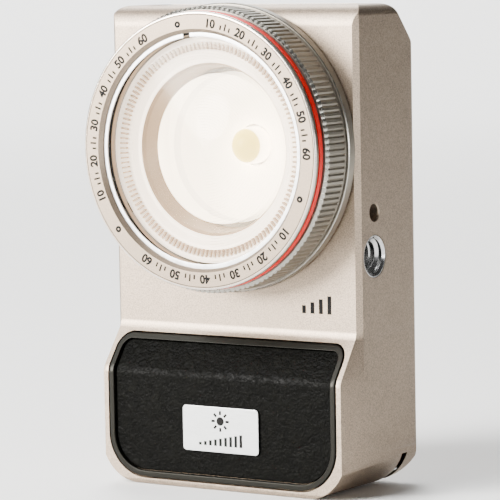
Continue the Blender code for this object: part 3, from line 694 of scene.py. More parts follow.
def make_body_shell():
    """The one-piece metal body with every opening in it."""
    shell = body_form()
    carve(shell, body_hollow())
    recess = rounded_rectangle(COVER_HIGH.x + 0.15 * MM, COVER_LOW.z - 0.15 * MM, COVER_HIGH.z + 0.15 * MM, 3.15 * MM)
    carve(shell, slab("cover_recess", recess, COVER_LOW.y - GAP, 20 * MM, "front"))
    opening = rounded_rectangle(COVER_HIGH.x - 1.8 * MM, COVER_LOW.z + 1.8 * MM, COVER_HIGH.z - 1.8 * MM, 4 * MM)
    carve(shell, slab("cover_opening", opening, 8.6 * MM, 15 * MM, "front"))
    carve(shell, bulge_layer("panel_recess", 0.28 * MM, 2.0 * MM, -1.5 * MM))
    side = (0, THREAD_Y, THREAD_Z)
    inner = HALF_WIDTH - 1.25 * MM
    carve(shell, lathe("thread_boss", disc_section(5.05 * MM, 18.7 * MM, inner), side, "turned_right"), "UNION")
    pin_side = (0, THREAD_Y, PIN_HOLE_Z)
    carve(shell, lathe("pin_boss", disc_section(2.7 * MM, 21.1 * MM, inner), pin_side, "turned_right", 32), "UNION")
    bushing_radius = (INSERT_HIGH.z - INSERT_LOW.z) / 2
    bore = disc_section(bushing_radius + 0.04 * MM, 18.1 * MM, 30 * MM)
    carve(shell, lathe("thread_bore", bore, side, "turned_right", 64))
    pin_bore = [
        (0, 22.2 * MM, 0),
        (1.5 * MM, 22.2 * MM, 0),
        (1.5 * MM, HALF_WIDTH - 0.2 * MM, 0),
        (1.7 * MM, HALF_WIDTH, 0),
        (1.7 * MM, 27 * MM, 0),
        (0, 27 * MM, 0),
    ]
    carve(shell, lathe("pin_bore", pin_bore, pin_side, "turned_right", 48))
    carve(shell, lathe("beam_bore", disc_section(15.3 * MM, -5 * MM, 5 * MM), lens_axis(), sides=96))
    seat = ring_section(17.3 * MM, 20.95 * MM, -1.1 * MM, 5 * MM)
    carve(shell, lathe("seat_groove", seat, lens_axis(), sides=96))
    strip_low, strip_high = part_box("top_window")
    strip = [
        (strip_low.x - 0.12 * MM, strip_low.y - 0.12 * MM, 1.62 * MM),
        (strip_high.x + 0.12 * MM, strip_low.y - 0.12 * MM, 1.62 * MM),
        (strip_high.x + 0.12 * MM, strip_high.y + 0.12 * MM, 1.62 * MM),
        (strip_low.x - 0.12 * MM, strip_high.y + 0.12 * MM, 1.62 * MM),
    ]
    carve(shell, slab("strip_recess", strip, TOP_Z - 1.1 * MM, TOP_Z + 5 * MM, "top"))
    carve(shell, block("display_opening", (-15 * MM, -1.4 * MM, 80 * MM), (15 * MM, 1.8 * MM, 87 * MM)))
    carve(shell, inlet_form("inlet_bore", 9.5 * MM, 3.8 * MM, -30 * MM, -22 * MM))
    slot_low, slot_high = LANYARD_Y - 0.9 * MM, LANYARD_Y + 0.9 * MM
    slot_section = disc_section(5.8 * MM, slot_low, slot_high)
    carve(shell, lathe("lanyard_slot", slot_section, (HALF_WIDTH, 0, 0), "turned_back", 72))
    for x, z in cover_screw_places():
        bore = disc_section(0.9 * MM, 9 * MM, 12 * MM)
        carve(shell, lathe("screw_bore", bore, (x, 0, z), "turned_back", 16))
    tidy_mesh(shell, 0.000005)
    even_shading(shell)
    return dress(shell, FINISH["champagne"], "champagne_body", "housing", "main_housing")


def inlet_form(name, length, width, low, high):
    """An upright round-ended slot at the power inlet, running across the body."""
    radius = width / 2 - 0.002 * MM
    middle_low, middle_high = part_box("usb_shell")
    y = (middle_low.y + middle_high.y) / 2
    z = (middle_low.z + middle_high.z) / 2
    corners = [
        (y - width / 2, z - length / 2, radius),
        (y + width / 2, z - length / 2, radius),
        (y + width / 2, z + length / 2, radius),
        (y - width / 2, z + length / 2, radius),
    ]
    return slab(name, corners, low, high, "side")


def cover_screw_places():
    x = COVER_HIGH.x - 2.1 * MM
    return [(sx * x, z) for sx in (-1, 1) for z in (COVER_LOW.z + 2.1 * MM, COVER_HIGH.z - 2.1 * MM)]


# ---------------------------------------------------------------- panel and front


def make_panel():
    """The bezel, the leather facing and the badge plate on the bulge."""
    bezel = bulge_layer("bezel_frame", 0, 0.08 * MM, -1.15 * MM)
    carve(bezel, bulge_layer("bezel_opening", -1.0 * MM, 2 * MM, -3 * MM))
    tidy_mesh(bezel)
    soften(bezel, 0.16 * MM, 3)
    even_shading(bezel)
    dress(bezel, FINISH["trim"], "dark_trim", "housing", "panel_bezel")
    leather = bulge_layer("leather_facing", -1.12 * MM, -0.5 * MM, -1.2 * MM)
    tidy_mesh(leather)
    soften(leather, 0.25 * MM, 3)
    even_shading(leather)
    dress(leather, FINISH["leather"], "black_leather", "housing", "leather_panel")
    half = PLATE_HIGH.x
    corners = rounded_rectangle(half, PLATE_LOW.z, PLATE_HIGH.z, 0.7 * MM)
    plate = slab("badge_plate", corners, PLATE_LOW.y, PLATE_HIGH.y, "front")
    soften(plate, 0.07 * MM, 2)
    even_shading(plate)
    dress(plate, FINISH["plate"], "silver_plate", "housing", "name_plate")


def print_on_front(name, marks, y, body):
    """Joins printed marks and lays them on a face that looks forwards."""
    marks = join(name, marks)
    settle(marks, "front", (0, y, 0))
    return dress(marks, FINISH["ink"], "black_plastic", body)


def make_badge_marks():
    """A plain brightness mark over a rising scale, both printed."""
    sun_z = PLATE_HIGH.z - 2.5 * MM
    marks = [ink_disc(0.78 * MM, (0, sun_z))]
    for index in range(8):
        turn = index * pi / 4
        where = (1.5 * MM * sin(turn), sun_z + 1.5 * MM * cos(turn))
        marks.append(ink_bar(0.42 * MM, 0.72 * MM, where, -turn))
    for index in range(9):
        height = (0.5 + 0.22 * index) * MM
        where = ((index - 4) * 1.08 * MM, PLATE_LOW.z + 1.15 * MM + height / 2)
        marks.append(ink_bar(0.56 * MM, height, where))
    print_on_front("badge_marks", marks, PLATE_LOW.y, "housing")


def make_front_mark():
    """Four rising bars printed low on the front face."""
    bars = []
    for index in range(4):
        height = (1.4 + 0.6 * index) * MM
        bars.append(ink_bar(0.78 * MM, height, ((14.4 + 1.75 * index) * MM, 32.0 * MM + height / 2)))
    print_on_front("level_mark", bars, FRONT_Y, "housing")


# ---------------------------------------------------------------- side, top and back


def make_thread_bushing():
    """The steel bushing in the side, with the turns of its thread."""
    place = (0, THREAD_Y, THREAD_Z)
    outer = (INSERT_HIGH.z - INSERT_LOW.z) / 2
    mouth = INSERT_HIGH.x
    section = [
        (outer, INSERT_LOW.x, 0.1 * MM),
        (outer, mouth, 0.12 * MM),
        (3.55 * MM, mouth, 0.05 * MM),
        (3.2 * MM, mouth - 0.45 * MM, 0),
        (3.2 * MM, 19.7 * MM, 0),
        (0, 19.3 * MM, 0),
        (0, INSERT_LOW.x, 0),
    ]
    bushing = lathe("thread_bushing", section, place, "turned_right", 72)
    bpy.ops.mesh.primitive_circle_add(vertices=4, fill_type="NOTHING")
    turns = bpy.context.object
    thread = ((3.26, -0.56), (2.62, -0.08), (2.62, 0.08), (3.26, 0.56))
    for vertex, (radius, height) in zip(turns.data.vertices, thread):
        vertex.co = (radius * MM, 0, height * MM)
    step = turns.modifiers.new("Helix", "SCREW")
    step.axis = "Z"
    step.screw_offset = 1.27 * MM
    step.iterations = 4
    step.steps = step.render_steps = 48
    step.use_merge_vertices = False
    apply_modifiers(turns)
    edit(turns)
    bpy.ops.mesh.select_all(action="SELECT")
    bpy.ops.mesh.fill_holes(sides=8)
    bpy.ops.mesh.select_all(action="SELECT")
    bpy.ops.mesh.normals_make_consistent(inside=False)
    leave()
    smooth(turns)
    turns.data.transform(Matrix.Rotation(pi / 2, 4, "Y"))
    turns.data.transform(Matrix.Translation((mouth - 5.75 * MM, THREAD_Y, THREAD_Z)))
    bushing = join("thread_bushing", [bushing, turns])
    dress(bushing, FINISH["steel"], "bright_steel", "housing", "thread_insert")


def make_top_strip():
    """The glossy strip on top with four small level lights under it."""
    low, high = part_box("top_window")
    corners = [
        (low.x, low.y, 1.5 * MM),
        (high.x, low.y, 1.5 * MM),
        (high.x, high.y, 1.5 * MM),
        (low.x, high.y, 1.5 * MM),
    ]
    strip = slab("top_strip", corners, low.z, high.z, "top")
    soften(strip, 0.12 * MM, 3)
    even_shading(strip)
    dress(strip, FINISH["smoked"], "smoked_glass", "housing", "top_window")
    middle = (low.y + high.y) / 2
    lights = [ink_disc(0.32 * MM, ((-3.6 + 2.4 * index) * MM, middle)) for index in range(4)]
    lights.append(ink_bar(5.5 * MM, 0.9 * MM, (-11 * MM, middle)))
    lights = join("level_lights", lights)
    settle(lights, "top", (0, 0, high.z - 0.01 * MM))
    dress(lights, FINISH["lit_mark"], "white_plastic", "housing")


def make_rear_cover():
    """The rear cover with its screws, and the marks round the dial."""
    face_y = COVER_HIGH.y
    corners = rounded_rectangle(COVER_HIGH.x, COVER_LOW.z, COVER_HIGH.z, 3 * MM)
    cover = slab("rear_cover_plate", corners, COVER_LOW.y, face_y, "front")
    soften(cover, 0.3 * MM, 3)
    dial_place, button_place = (0, 0, DIAL_Z), (0, 0, BUTTON_Z)
    carve(cover, lathe("dial_bore", disc_section(2.5 * MM, 5 * MM, 20 * MM), dial_place, "turned_back", 48))
    dish = disc_section(8.6 * MM, face_y - 0.25 * MM, 20 * MM)
    carve(cover, lathe("dial_dish", dish, dial_place, "turned_back", 96))
    hole = disc_section((BUTTON_HIGH.z - BUTTON_LOW.z) / 2 + 0.3 * MM, 5 * MM, 20 * MM)
    carve(cover, lathe("button_hole", hole, button_place, "turned_back", 64))
    for x, z in cover_screw_places():
        section = [
            (0, 8 * MM, 0),
            (0.95 * MM, 8 * MM, 0),
            (0.95 * MM, face_y - 0.42 * MM, 0),
            (1.45 * MM, face_y - 0.42 * MM, 0),
            (1.45 * MM, 20 * MM, 0),
            (0, 20 * MM, 0),
        ]
        carve(cover, lathe("screw_seat", section, (x, 0, z), "turned_back", 32))
    tidy_mesh(cover)
    even_shading(cover)
    dress(cover, FINISH["champagne"], "champagne_body", "housing", "rear_cover")
    for number in range(1, 5):
        make_cover_screw(number)
    radius = 10.1 * MM
    tick = ink_bar(0.22 * MM, 1.1 * MM, (0, radius))
    repeat(tick, 11, radians(270), (0, 0, 0), (0, 0, 1))
    tick.data.transform(Matrix.Rotation(radians(-135), 4, "Z"))
    marks = [tick]
    for turn, words in ((-135, "0"), (0, "5"), (135, "10")):
        spot = ((radius + 2.1 * MM) * sin(radians(turn)), (radius + 2.1 * MM) * cos(radians(turn)))
        marks.append(ink_number(words, 2.0 * MM, spot))
    marks = join("dial_marks", marks)
    settle(marks, "back", (0, face_y, DIAL_Z))
    dress(marks, FINISH["ink"], "black_plastic", "housing")


def make_cover_screw(number):
    """A cover screw with a round head and a six-sided socket."""
    low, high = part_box(f"cover_screw_{number}")
    x, z = (low.x + high.x) / 2, (low.z + high.z) / 2
    head = (high.x - low.x) / 2
    section = [
        (0, low.y, 0),
        (0.75 * MM, low.y, 0),
        (0.75 * MM, high.y - 0.35 * MM, 0),
        (head, high.y - 0.35 * MM, 0),
        (head, high.y, 0.14 * MM),
        (0, high.y, 0),
    ]
    screw = lathe(f"cover_bolt_{number}", section, (x, 0, z), "turned_back", 40)
    socket = disc_section(0.72 * MM, high.y - 0.28 * MM, high.y + 1 * MM)
    carve(screw, lathe("socket", socket, (x, 0, z), "turned_back", 6))
    smooth(screw)
    dress(screw, FINISH["steel"], "bright_steel", "housing", f"cover_screw_{number}")


def make_dial():
    """The knurled dial on the back, with a pointer line."""
    radius = (DIAL_HIGH.x - DIAL_LOW.x) / 2
    where = (0, 0, DIAL_Z)
    section = [
        (0, DIAL_LOW.y, 0),
        (radius - 0.3 * MM, DIAL_LOW.y, 0),
        (radius, DIAL_LOW.y + 0.3 * MM, 0),
        (radius, DIAL_HIGH.y - 0.4 * MM, 0),
        (radius - 0.5 * MM, DIAL_HIGH.y, 0.1 * MM),
        (5.0 * MM, DIAL_HIGH.y, 0.1 * MM),
        (4.7 * MM, DIAL_HIGH.y - 0.3 * MM, 0.1 * MM),
        (0, DIAL_HIGH.y - 0.45 * MM, 0),
    ]
    knob = lathe("dial_cap", section, where, "turned_back", 96)
    teeth = slab("dial_teeth", toothed(56, radius, radius - 0.3 * MM), DIAL_LOW.y, DIAL_HIGH.y + 0.1 * MM, "front")
    teeth.data.transform(Matrix.Translation(where))
    carve(knob, teeth, "INTERSECT")
    line = block("pointer", (-0.25 * MM, DIAL_HIGH.y - 0.2 * MM, DIAL_Z + 5.2 * MM), (0.25 * MM, 20 * MM, DIAL_Z + 6.3 * MM))
    carve(knob, line)
    tidy_mesh(knob)
    even_shading(knob)
    dress(knob, FINISH["grey"], "grey_anodised", "dial", "dial_knob")
    # The pointer line is filled with the glowing white: the white fill is its own colour, the glow is painted light
    paint(
        knob,
        FINISH["white_painted_glow"],
        lambda c, n: n.y > 0.9 and abs(c.x) < 0.24 * MM and c.y < DIAL_HIGH.y - 0.15 * MM and c.z > DIAL_Z + 5.1 * MM,
    )


def make_power_button():
    """The round power button with its dished face and printed symbol."""
    radius = (BUTTON_HIGH.x - BUTTON_LOW.x) / 2
    top = BUTTON_HIGH.y
    section = [
        (0, BUTTON_LOW.y, 0),
        (radius, BUTTON_LOW.y, 0),
        (radius, top, 0.3 * MM),
        (radius - 0.6 * MM, top, 0.1 * MM),
        (0, top - 0.2 * MM, 0),
    ]
    button = lathe("power_cap", section, (0, 0, BUTTON_Z), "turned_back", 72)
    dress(button, FINISH["grey"], "grey_anodised", "power_button", "power_button")
    arc = ink_bar(0.3 * MM, 0.34 * MM, (0, 1.35 * MM))
    repeat(arc, 34, radians(280), (0, 0, 0), (0, 0, 1))
    arc.data.transform(Matrix.Rotation(radians(40), 4, "Z"))
    symbol = join("power_symbol", [arc, ink_bar(0.34 * MM, 1.4 * MM, (0, 1.1 * MM))])
    settle(symbol, "back", (0, top - 0.16 * MM, BUTTON_Z))
    dress(symbol, FINISH["ink"], "black_plastic", "power_button")


# ---------------------------------------------------------------- light engine


def make_light_engine():
    """What is seen through the lens: seat ring, glass dome, dish and emitter."""
    steel = ring_section(17.5 * MM, 20.8 * MM, -0.8 * MM, -0.05 * MM, 0.1 * MM)
    ring = lathe("seat_plate", steel, lens_axis())
    dress(ring, FINISH["steel"], "bright_steel", "housing", "seat_ring")
    section = [
        (15.0 * MM, -0.05 * MM, 0.12 * MM),
        (15.0 * MM, -2.2 * MM, 0),
        (14.1 * MM, -2.2 * MM, 0),
        (14.1 * MM, -0.6 * MM, 0),
        (13.4 * MM, -0.6 * MM, 0),
        (13.4 * MM, -0.05 * MM, 0.1 * MM),
    ]
    bezel = lathe("dome_bezel", section, lens_axis(), sides=120)
    dress(bezel, FINISH["grey"], "grey_anodised", "housing", "window_bezel")
    apex = FRONT_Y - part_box("front_window")[0].y
    curve = dome_points(13.3 * MM, apex - 2.8 * MM, 2.8 * MM, 14)
    section = [(0, -2.0 * MM, 0), (13.8 * MM, -2.0 * MM, 0), (13.8 * MM, -0.9 * MM, 0), (13.3 * MM, -0.9 * MM, 0)]
    dome = lathe("glass_dome", section + curve, lens_axis(), sides=120)
    smooth(dome, 40)
    dress(dome, FINISH["window"], "clear_window", "housing", "front_window")
    section = [
        (14.6 * MM, -2.5 * MM, 0),
        (14.6 * MM, -3.3 * MM, 0),
        (13.4 * MM, -3.4 * MM, 0),
        (5.0 * MM, -7.6 * MM, 0),
        (3.8 * MM, -7.6 * MM, 0),
        (3.8 * MM, -6.9 * MM, 0),
        (6.2 * MM, -5.9 * MM, 1.5 * MM),
        (9.8 * MM, -4.4 * MM, 2.5 * MM),
        (12.9 * MM, -2.5 * MM, 0),
    ]
    dish = lathe("reflector_dish", section, lens_axis(), sides=120)
    dress(dish, FINISH["dish"], "white_plastic", "housing", "reflector_cup")
    curve = dome_points(3.3 * MM, -5.2 * MM, 2.8 * MM, 12)
    emitter = lathe("emitter_dome", [(0, -7.7 * MM, 0), (3.3 * MM, -7.7 * MM, 0)] + curve, lens_axis(), sides=64)
    dress(emitter, FINISH["phosphor"], "led_phosphor", "housing", "led_emitter")
    # The emitter's base takes the same glowing dish white: painted light
    paint(emitter, FINISH["dish"], lambda c, n: c.y > FRONT_Y + 4.7 * MM)


def dome_points(radius, edge_height, rise, steps):
    """The corners of a domed top, from its edge in to its middle."""
    curve = (radius**2 + rise**2) / (2 * rise)
    across = [radius * (steps - step) / steps for step in range(steps + 1)]
    return [(x, edge_height + rise - curve + (curve**2 - x**2) ** 0.5, 0) for x in across]


# ---------------------------------------------------------------- lens head


def make_lens_head():
    """The smooth ring at the body, and the funnel inside the head."""
    section = [
        (17.0 * MM, 0.3 * MM, 0.1 * MM),
        (25.6 * MM, 0.3 * MM, 0.2 * MM),
        (25.6 * MM, 2.16 * MM, 0),
        (25.46 * MM, 2.3 * MM, 0),
        (17.0 * MM, 2.3 * MM, 0.1 * MM),
    ]
    base = lathe("base_ring", section, lens_axis())
    pocket = lathe("pocket", disc_section(1.42 * MM, -1 * MM, 1.5 * MM), lens_axis(), sides=24)
    pocket.data.transform(Matrix.Translation((0, 0, 19.2 * MM)))
    pocket = ring_of(pocket, 4, lens_axis())
    turned = Matrix.Translation(lens_axis()) @ Matrix.Rotation(pi / 4, 4, "Y") @ Matrix.Translation(-Vector(lens_axis()))
    pocket.data.transform(turned)
    carve(base, pocket)
    tidy_mesh(base)
    even_shading(base)
    dress(base, FINISH["grey"], "grey_anodised", "lens_head", "mount_ring")
    # Painted highlight on the smooth ring's front rim
    paint(base, FINISH["grey_painted_highlight"], lambda c, n: n.y < -0.4 and lens_radius(c) > 25.45 * MM)
    section = [
        (14.2 * MM, 0.5 * MM, 0),
        (16.4 * MM, 0.5 * MM, 0),
        (16.4 * MM, 2.6 * MM, 0),
        (19.2 * MM, 2.6 * MM, 0),
        (19.2 * MM, 2.9 * MM, 0),
        (19.9 * MM, 7.8 * MM, 0),
        (19.1 * MM, 7.8 * MM, 0.15 * MM),
        (18.4 * MM, 7.3 * MM, 0.3 * MM),
        (17.0 * MM, 7.0 * MM, 0.4 * MM),
        (16.0 * MM, 6.35 * MM, 0.4 * MM),
        (15.2 * MM, 6.35 * MM, 0.25 * MM),
        (14.8 * MM, 5.6 * MM, 0.3 * MM),
    ]
    funnel = lathe("light_funnel", section, lens_axis())
    # The funnel takes the glowing white: painted light inside the lens head
    dress(funnel, FINISH["white_painted_glow"], "white_plastic", "lens_head", "inner_funnel")
    # Painted shade: the funnel's inner wall, which faces away from the light, is given the darker glowing tan
    paint(funnel, FINISH["tan_painted_glow"], lambda c, n: lens_radius(c) < 15.25 * MM and c.y < FRONT_Y - 0.6 * MM)
    rib = block("funnel_ribs", (-0.16 * MM, FRONT_Y - 7.95 * MM, LENS_Z + 17.6 * MM), (0.16 * MM, FRONT_Y - 7.1 * MM, LENS_Z + 18.9 * MM))
    ring_of(rib, 132, lens_axis())
    # The ribs take the glowing tan too, so their glow is painted light
    dress(rib, FINISH["tan_painted_glow"], "white_plastic", "lens_head")


def lens_radius(point):
    return hypot(point.x, point.z - LENS_Z)


def make_focus_ring():
    """The turning ring, knurled with straight V grooves that run out through its chamfer."""
    low, high = 3.0 * MM, 8.1 * MM
    knurl = outline("knurled_ring", toothed(146, 25.2 * MM, 24.95 * MM, 0.42))
    edit(knurl)
    bpy.ops.mesh.select_all(action="SELECT")
    bpy.ops.mesh.extrude_region_move(TRANSFORM_OT_translate={"value": (0, 0, high - low)})
    bpy.ops.mesh.extrude_region_move(TRANSFORM_OT_translate={"value": (0, 0, 0.4 * MM)})
    leave()
    for vertex in knurl.data.vertices:
        if vertex.co.z > high - low + 0.1 * MM:
            shrink = 24.6 * MM / hypot(vertex.co.x, vertex.co.y)
            vertex.co.x *= shrink
            vertex.co.y *= shrink
    settle(knurl, "front", (0, FRONT_Y - low, LENS_Z))
    tidy_mesh(knurl)
    carve(knurl, lathe("knurl_bore", disc_section(23.4 * MM, 0, 20 * MM), lens_axis()))
    smooth(knurl, 20)
    rim = lathe("knurl_rim", ring_section(23.4 * MM, 25.2 * MM, 2.6 * MM, low, 0.05 * MM), lens_axis(), sides=200)
    knurl = join("knurled_ring", [knurl, rim])
    dress(knurl, FINISH["grey"], "grey_anodised", "focus_ring", "focus_ring")
    # Painted highlight on the knurl's front chamfer
    paint(knurl, FINISH["grey_painted_highlight"], lambda c, n: -0.97 < n.y < -0.2 and c.y < FRONT_Y - 8.0 * MM)


def make_lens_barrel():
    """The sliding barrel with its red ring, front ring, lens and retaining clip."""
    section = [
        (23.3 * MM, 10.0 * MM, 0),
        (23.3 * MM, 8.8 * MM, 0),
        (23.1 * MM, 8.8 * MM, 0),
        (23.1 * MM, 3.2 * MM, 0),
        (22.4 * MM, 3.2 * MM, 0),
        (22.4 * MM, 8.25 * MM, 0),
        (21.1 * MM, 8.25 * MM, 0),
        (21.1 * MM, 7.5 * MM, 0.1 * MM),
        (20.3 * MM, 7.5 * MM, 0.1 * MM),
        (20.3 * MM, 8.5 * MM, 0.1 * MM),
        (21.3 * MM, 8.5 * MM, 0),
        (21.3 * MM, 10.0 * MM, 0),
    ]
    barrel = lathe("sliding_barrel", section, lens_axis())
    # Painted shade: the barrel, grey anodised by its slot, is made near-black for the shadowed gaps it shows between
    # the rings
    dress(barrel, FINISH["groove"], "grey_anodised", "lens_barrel", "lens_barrel")
    # Painted light: the barrel's bore, which sits in shadow inside the front ring, is given the glowing tan so it
    # looks lit
    paint(barrel, FINISH["tan_painted_glow"], lambda c, n: lens_radius(c) < 20.6 * MM)
    section = ring_section(23.6 * MM, 24.45 * MM, 9.0 * MM, 10.0 * MM, 0.12 * MM)
    accent = lathe("red_band", section, lens_axis(), sides=200)
    dress(accent, FINISH["red"], "red_anodised", "lens_barrel", "red_ring")
    section = [
        (20.7 * MM, 10.3 * MM, 0),
        (24.4 * MM, 10.35 * MM, 0.06 * MM),
        (24.4 * MM, 11.2 * MM, 0.38 * MM),
        (23.9 * MM, 11.2 * MM, 0),
        (23.9 * MM, 11.12 * MM, 0),
        (23.78 * MM, 11.12 * MM, 0),
        (23.78 * MM, 11.2 * MM, 0),
        (21.3 * MM, 11.2 * MM, 0.08 * MM),
        (20.7 * MM, 10.55 * MM, 0.05 * MM),
    ]
    ring = lathe("front_ring_face", section, lens_axis(), sides=200)
    even_shading(ring)
    dress(ring, FINISH["ring_face"], "champagne_body", "lens_barrel", "front_ring")
    # Painted highlight on the front ring's rounded outer edge
    paint(ring, FINISH["champagne_painted_highlight"], lambda c, n: lens_radius(c) > 24.0 * MM and n.y < -0.15)
    # Painted shade: the fine groove in the ring face is filled with near-black
    paint(ring, FINISH["groove"], lambda c, n: 23.7 * MM < lens_radius(c) < 23.92 * MM and c.y > FRONT_Y - 11.19 * MM)
    grooves = []
    for index in range(38):
        radius = (20.0 - 0.5 * index) * MM
        grooves += [(radius, 8.8 * MM, 0), (radius - 0.42 * MM, 8.87 * MM, 0)]
    section = grooves[::-1] + [(21.0 * MM, 8.8 * MM, 0), (21.0 * MM, 10.0 * MM, 0), (0, 10.0 * MM, 0), (0, 8.87 * MM, 0)]
    lens = lathe("grooved_lens", section, lens_axis())
    smooth(lens, 12)
    dress(lens, FINISH["lens"], "clear_lens", "lens_barrel", "fresnel_lens")
    section = ring_section(19.9 * MM, 20.75 * MM, 10.02 * MM, 10.28 * MM, 0.08 * MM)
    clip = lathe("retaining_clip", section, lens_axis())
    notch = radians(97)
    gap = block("clip_gap", (-0.7 * MM, -30 * MM, 19 * MM), (0.7 * MM, 30 * MM, 22 * MM))
    gap.data.transform(Matrix.Rotation(pi / 2 - notch, 4, "Y"))
    gap.data.transform(Matrix.Translation((0, 0, LENS_Z)))
    carve(clip, gap)
    smooth(clip)
    dress(clip, FINISH["bare"], "bright_steel", "lens_barrel")


def make_ring_marks():
    """The three pins and the printed angle scale on the front ring. Each pin is a flat cap in a black printed ring,
    which is painted shade for the hollow round it.
    """
    radius = 22.35 * MM
    face = FRONT_Y - 11.2 * MM
    first = radians(99.5)
    hole_shade_rings, caps, scale = [], [], []
    for third in range(3):
        turn = first - third * radians(120)
        where = (radius * cos(turn), LENS_Z + radius * sin(turn))
        # Painted shade: a black ring where the hollow round the pin would be dark
        hole_shade_rings.append(ink_disc(0.58 * MM, where, 0.17 * MM))
        caps.append(ink_disc(0.17 * MM, where, thick=0.02 * MM))
        for number in range(6):
            angle = turn - radians(17.5 + 16.4 * number)
            spot = (radius * cos(angle), LENS_Z + radius * sin(angle))
            scale.append(ink_number(str(10 * (number + 1)), 2.1 * MM, spot, angle - pi / 2))
            if number == 5:
                continue
            for tick in range(1, 4):
                at = angle - radians(3.4 + 2.4 * tick)
                height = 1.25 * MM if tick == 2 else 0.8 * MM
                reach = radius - 0.62 * MM + height / 2
                spot = (reach * cos(at), LENS_Z + reach * sin(at))
                scale.append(ink_bar(0.3 * MM, height, spot, at - pi / 2))
    print_on_front("pin_hole_shade_rings", hole_shade_rings, face, "lens_barrel")
    print_on_front("angle_scale", scale, face, "lens_barrel")
    caps = join("pin_caps", caps)
    settle(caps, "front", (0, face, 0))
    dress(caps, FINISH["ring_face"], "champagne_body", "lens_barrel")


PIN_HOLE_Z = THREAD_Z + 7.7 * MM
LANYARD_Y = 8.0 * MM
FACING["back"] = Matrix(((-1, 0, 0), (0, 0, 1), (0, 1, 0)))


# ---------------------------------------------------------------- stage


def make_stage():
    """A pale floor that sweeps up behind."""
    bpy.ops.mesh.primitive_plane_add(size=3.0, location=(0, 0.6, 0))
    floor = bpy.context.object
    floor.name = "studio_floor"
    edit(floor, "EDGE")
    pick(floor, "EDGE", lambda e: all(v.co.y > 1.0 for v in e.verts))
    bpy.ops.mesh.extrude_region_move(TRANSFORM_OT_translate={"value": (0, 0, 2.0)})
    bpy.ops.mesh.select_all(action="DESELECT")
    pick(floor, "EDGE", lambda e: all(v.co.y > 1.0 and abs(v.co.z) < 0.001 for v in e.verts))
    bpy.ops.mesh.bevel(offset=0.8, segments=16)
    leave()
    smooth(floor, 60)
    paper = Finish("studio_paper", (0.92, 0.92, 0.91), 0.7)
    paper.relief(paper.noise(900.0), 0.02 * MM, 0.1)
    floor.data.materials.append(paper.material)
    floor.data.transform(Matrix.Rotation(CAMERA_YAW, 4, "Z"))


def softbox(name, place, target, width, height, power, colour=(1, 1, 1), shape="RECTANGLE"):
    bpy.ops.object.light_add(type="AREA", location=place)
    lamp = bpy.context.object
    lamp.name = name
    lamp.data.shape = shape
    lamp.data.size = width
    lamp.data.size_y = height
    lamp.data.energy = power
    lamp.data.color = colour
    lamp.rotation_euler = (Vector(target) - Vector(place)).to_track_quat("-Z", "Y").to_euler()


def make_lights():
    world = bpy.data.worlds.new("studio")
    bpy.context.scene.world = world
    world.use_nodes = True
    world.node_tree.nodes["Background"].inputs["Color"].default_value = (1.0, 0.99, 0.97, 1.0)
    world.node_tree.nodes["Background"].inputs["Strength"].default_value = 0.06
    middle = (0, 0, 0.045)
    softbox("key_softbox", (-0.577, -0.837, 0.308), middle, 0.46, 0.46, 37.0, (1.0, 0.98, 0.95), "ELLIPSE")
    softbox("upper_softbox", (-0.32, -0.55, 0.62), middle, 0.5, 0.4, 14.0)
    softbox("edge_softbox", (0.80, -0.52, 0.0), middle, 0.3, 0.36, 4.1)
    softbox("backdrop_light", (-1.0, 1.15, 1.5), (-1.0, 1.5, 0.2), 1.2, 1.2, 70.0)


CAMERA_YAW = radians(33.216)
CAMERA_PITCH = radians(5.553)
CAMERA_ROLL = radians(-1.023)
CAMERA_DISTANCE = 0.545155
CAMERA_AIM = (0.0, FRONT_Y, 0.044)
CAMERA_SLIDE = (2.77 * MM, -1.40 * MM)


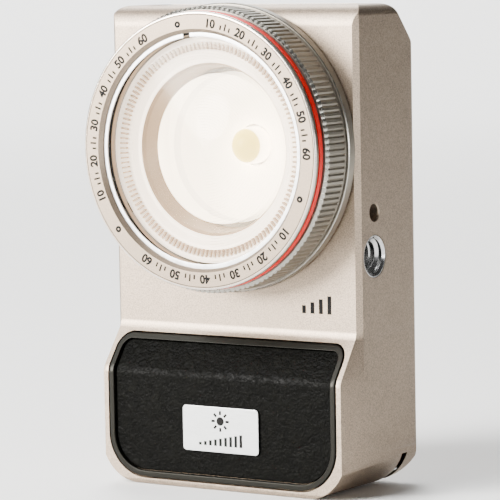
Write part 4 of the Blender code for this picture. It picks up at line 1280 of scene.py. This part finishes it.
def make_camera():
    back = Vector(
        (
            sin(CAMERA_YAW) * cos(CAMERA_PITCH),
            -cos(CAMERA_YAW) * cos(CAMERA_PITCH),
            sin(CAMERA_PITCH),
        )
    )
    level = Vector((cos(CAMERA_YAW), sin(CAMERA_YAW), 0))
    upright = back.cross(level)
    right = cos(CAMERA_ROLL) * level + sin(CAMERA_ROLL) * upright
    up = cos(CAMERA_ROLL) * upright - sin(CAMERA_ROLL) * level
    place = Vector(CAMERA_AIM) + back * CAMERA_DISTANCE + right * CAMERA_SLIDE[0] + up * CAMERA_SLIDE[1]
    bpy.ops.object.camera_add(location=place)
    camera = bpy.context.object
    camera.rotation_euler = Matrix((right, up, back)).transposed().to_euler()
    camera.data.lens = 220.68
    camera.data.sensor_width = 36.0
    camera.data.clip_start = 0.01
    camera.data.clip_end = 20.0
    bpy.context.scene.camera = camera


NODE_FINISH = {
    "rear_cover": "champagne",
    "panel_bezel": "trim",
    "leather_panel": "leather",
    "name_plate": "plate",
    "thread_insert": "steel",
    "lanyard_pin": "steel",
    "usb_shell": "steel",
    "usb_tongue": "black",
    "usb_board": "board",
    "top_window": "smoked",
    "status_display": "black",
    "seat_ring": "steel",
    "window_bezel": "grey",
    "front_window": "window",
    "reflector_cup": "dish",
    "led_emitter": "phosphor",
    "led_board": "bare",
    "heat_spreader": "bare",
    "battery_cell": "wrap",
    "battery_tray": "black",
    "main_board": "board",
    "driver_coil": "copper",
    "control_chip": "black",
    "dial_encoder": "black",
    "power_switch": "black",
    "dial_knob": "grey",
    "dial_shaft": "steel",
    "power_button": "grey",
    "mount_ring": "grey",
    "guide_sleeve": "bare",
    "inner_funnel": "white_painted_glow",
    "focus_ring": "grey",
    "lens_barrel": "groove",
    "red_ring": "red",
    "front_ring": "ring_face",
    "fresnel_lens": "lens",
    "main_housing": "champagne",
}


def dress_cad_nodes():
    for name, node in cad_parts.items():
        base = name.rstrip("0123456789").rstrip("_")
        finish = NODE_FINISH.get(base, "steel")
        node.data.materials.clear()
        node.data.materials.append(FINISH[finish])


deselect()
make_camera()
make_stage()
make_lights()
dress_cad_nodes()
make_body_shell()
make_panel()
make_badge_marks()
make_front_mark()
make_thread_bushing()
make_top_strip()
make_rear_cover()
make_dial()
make_power_button()
make_light_engine()
make_lens_head()
make_focus_ring()
make_lens_barrel()
make_ring_marks()
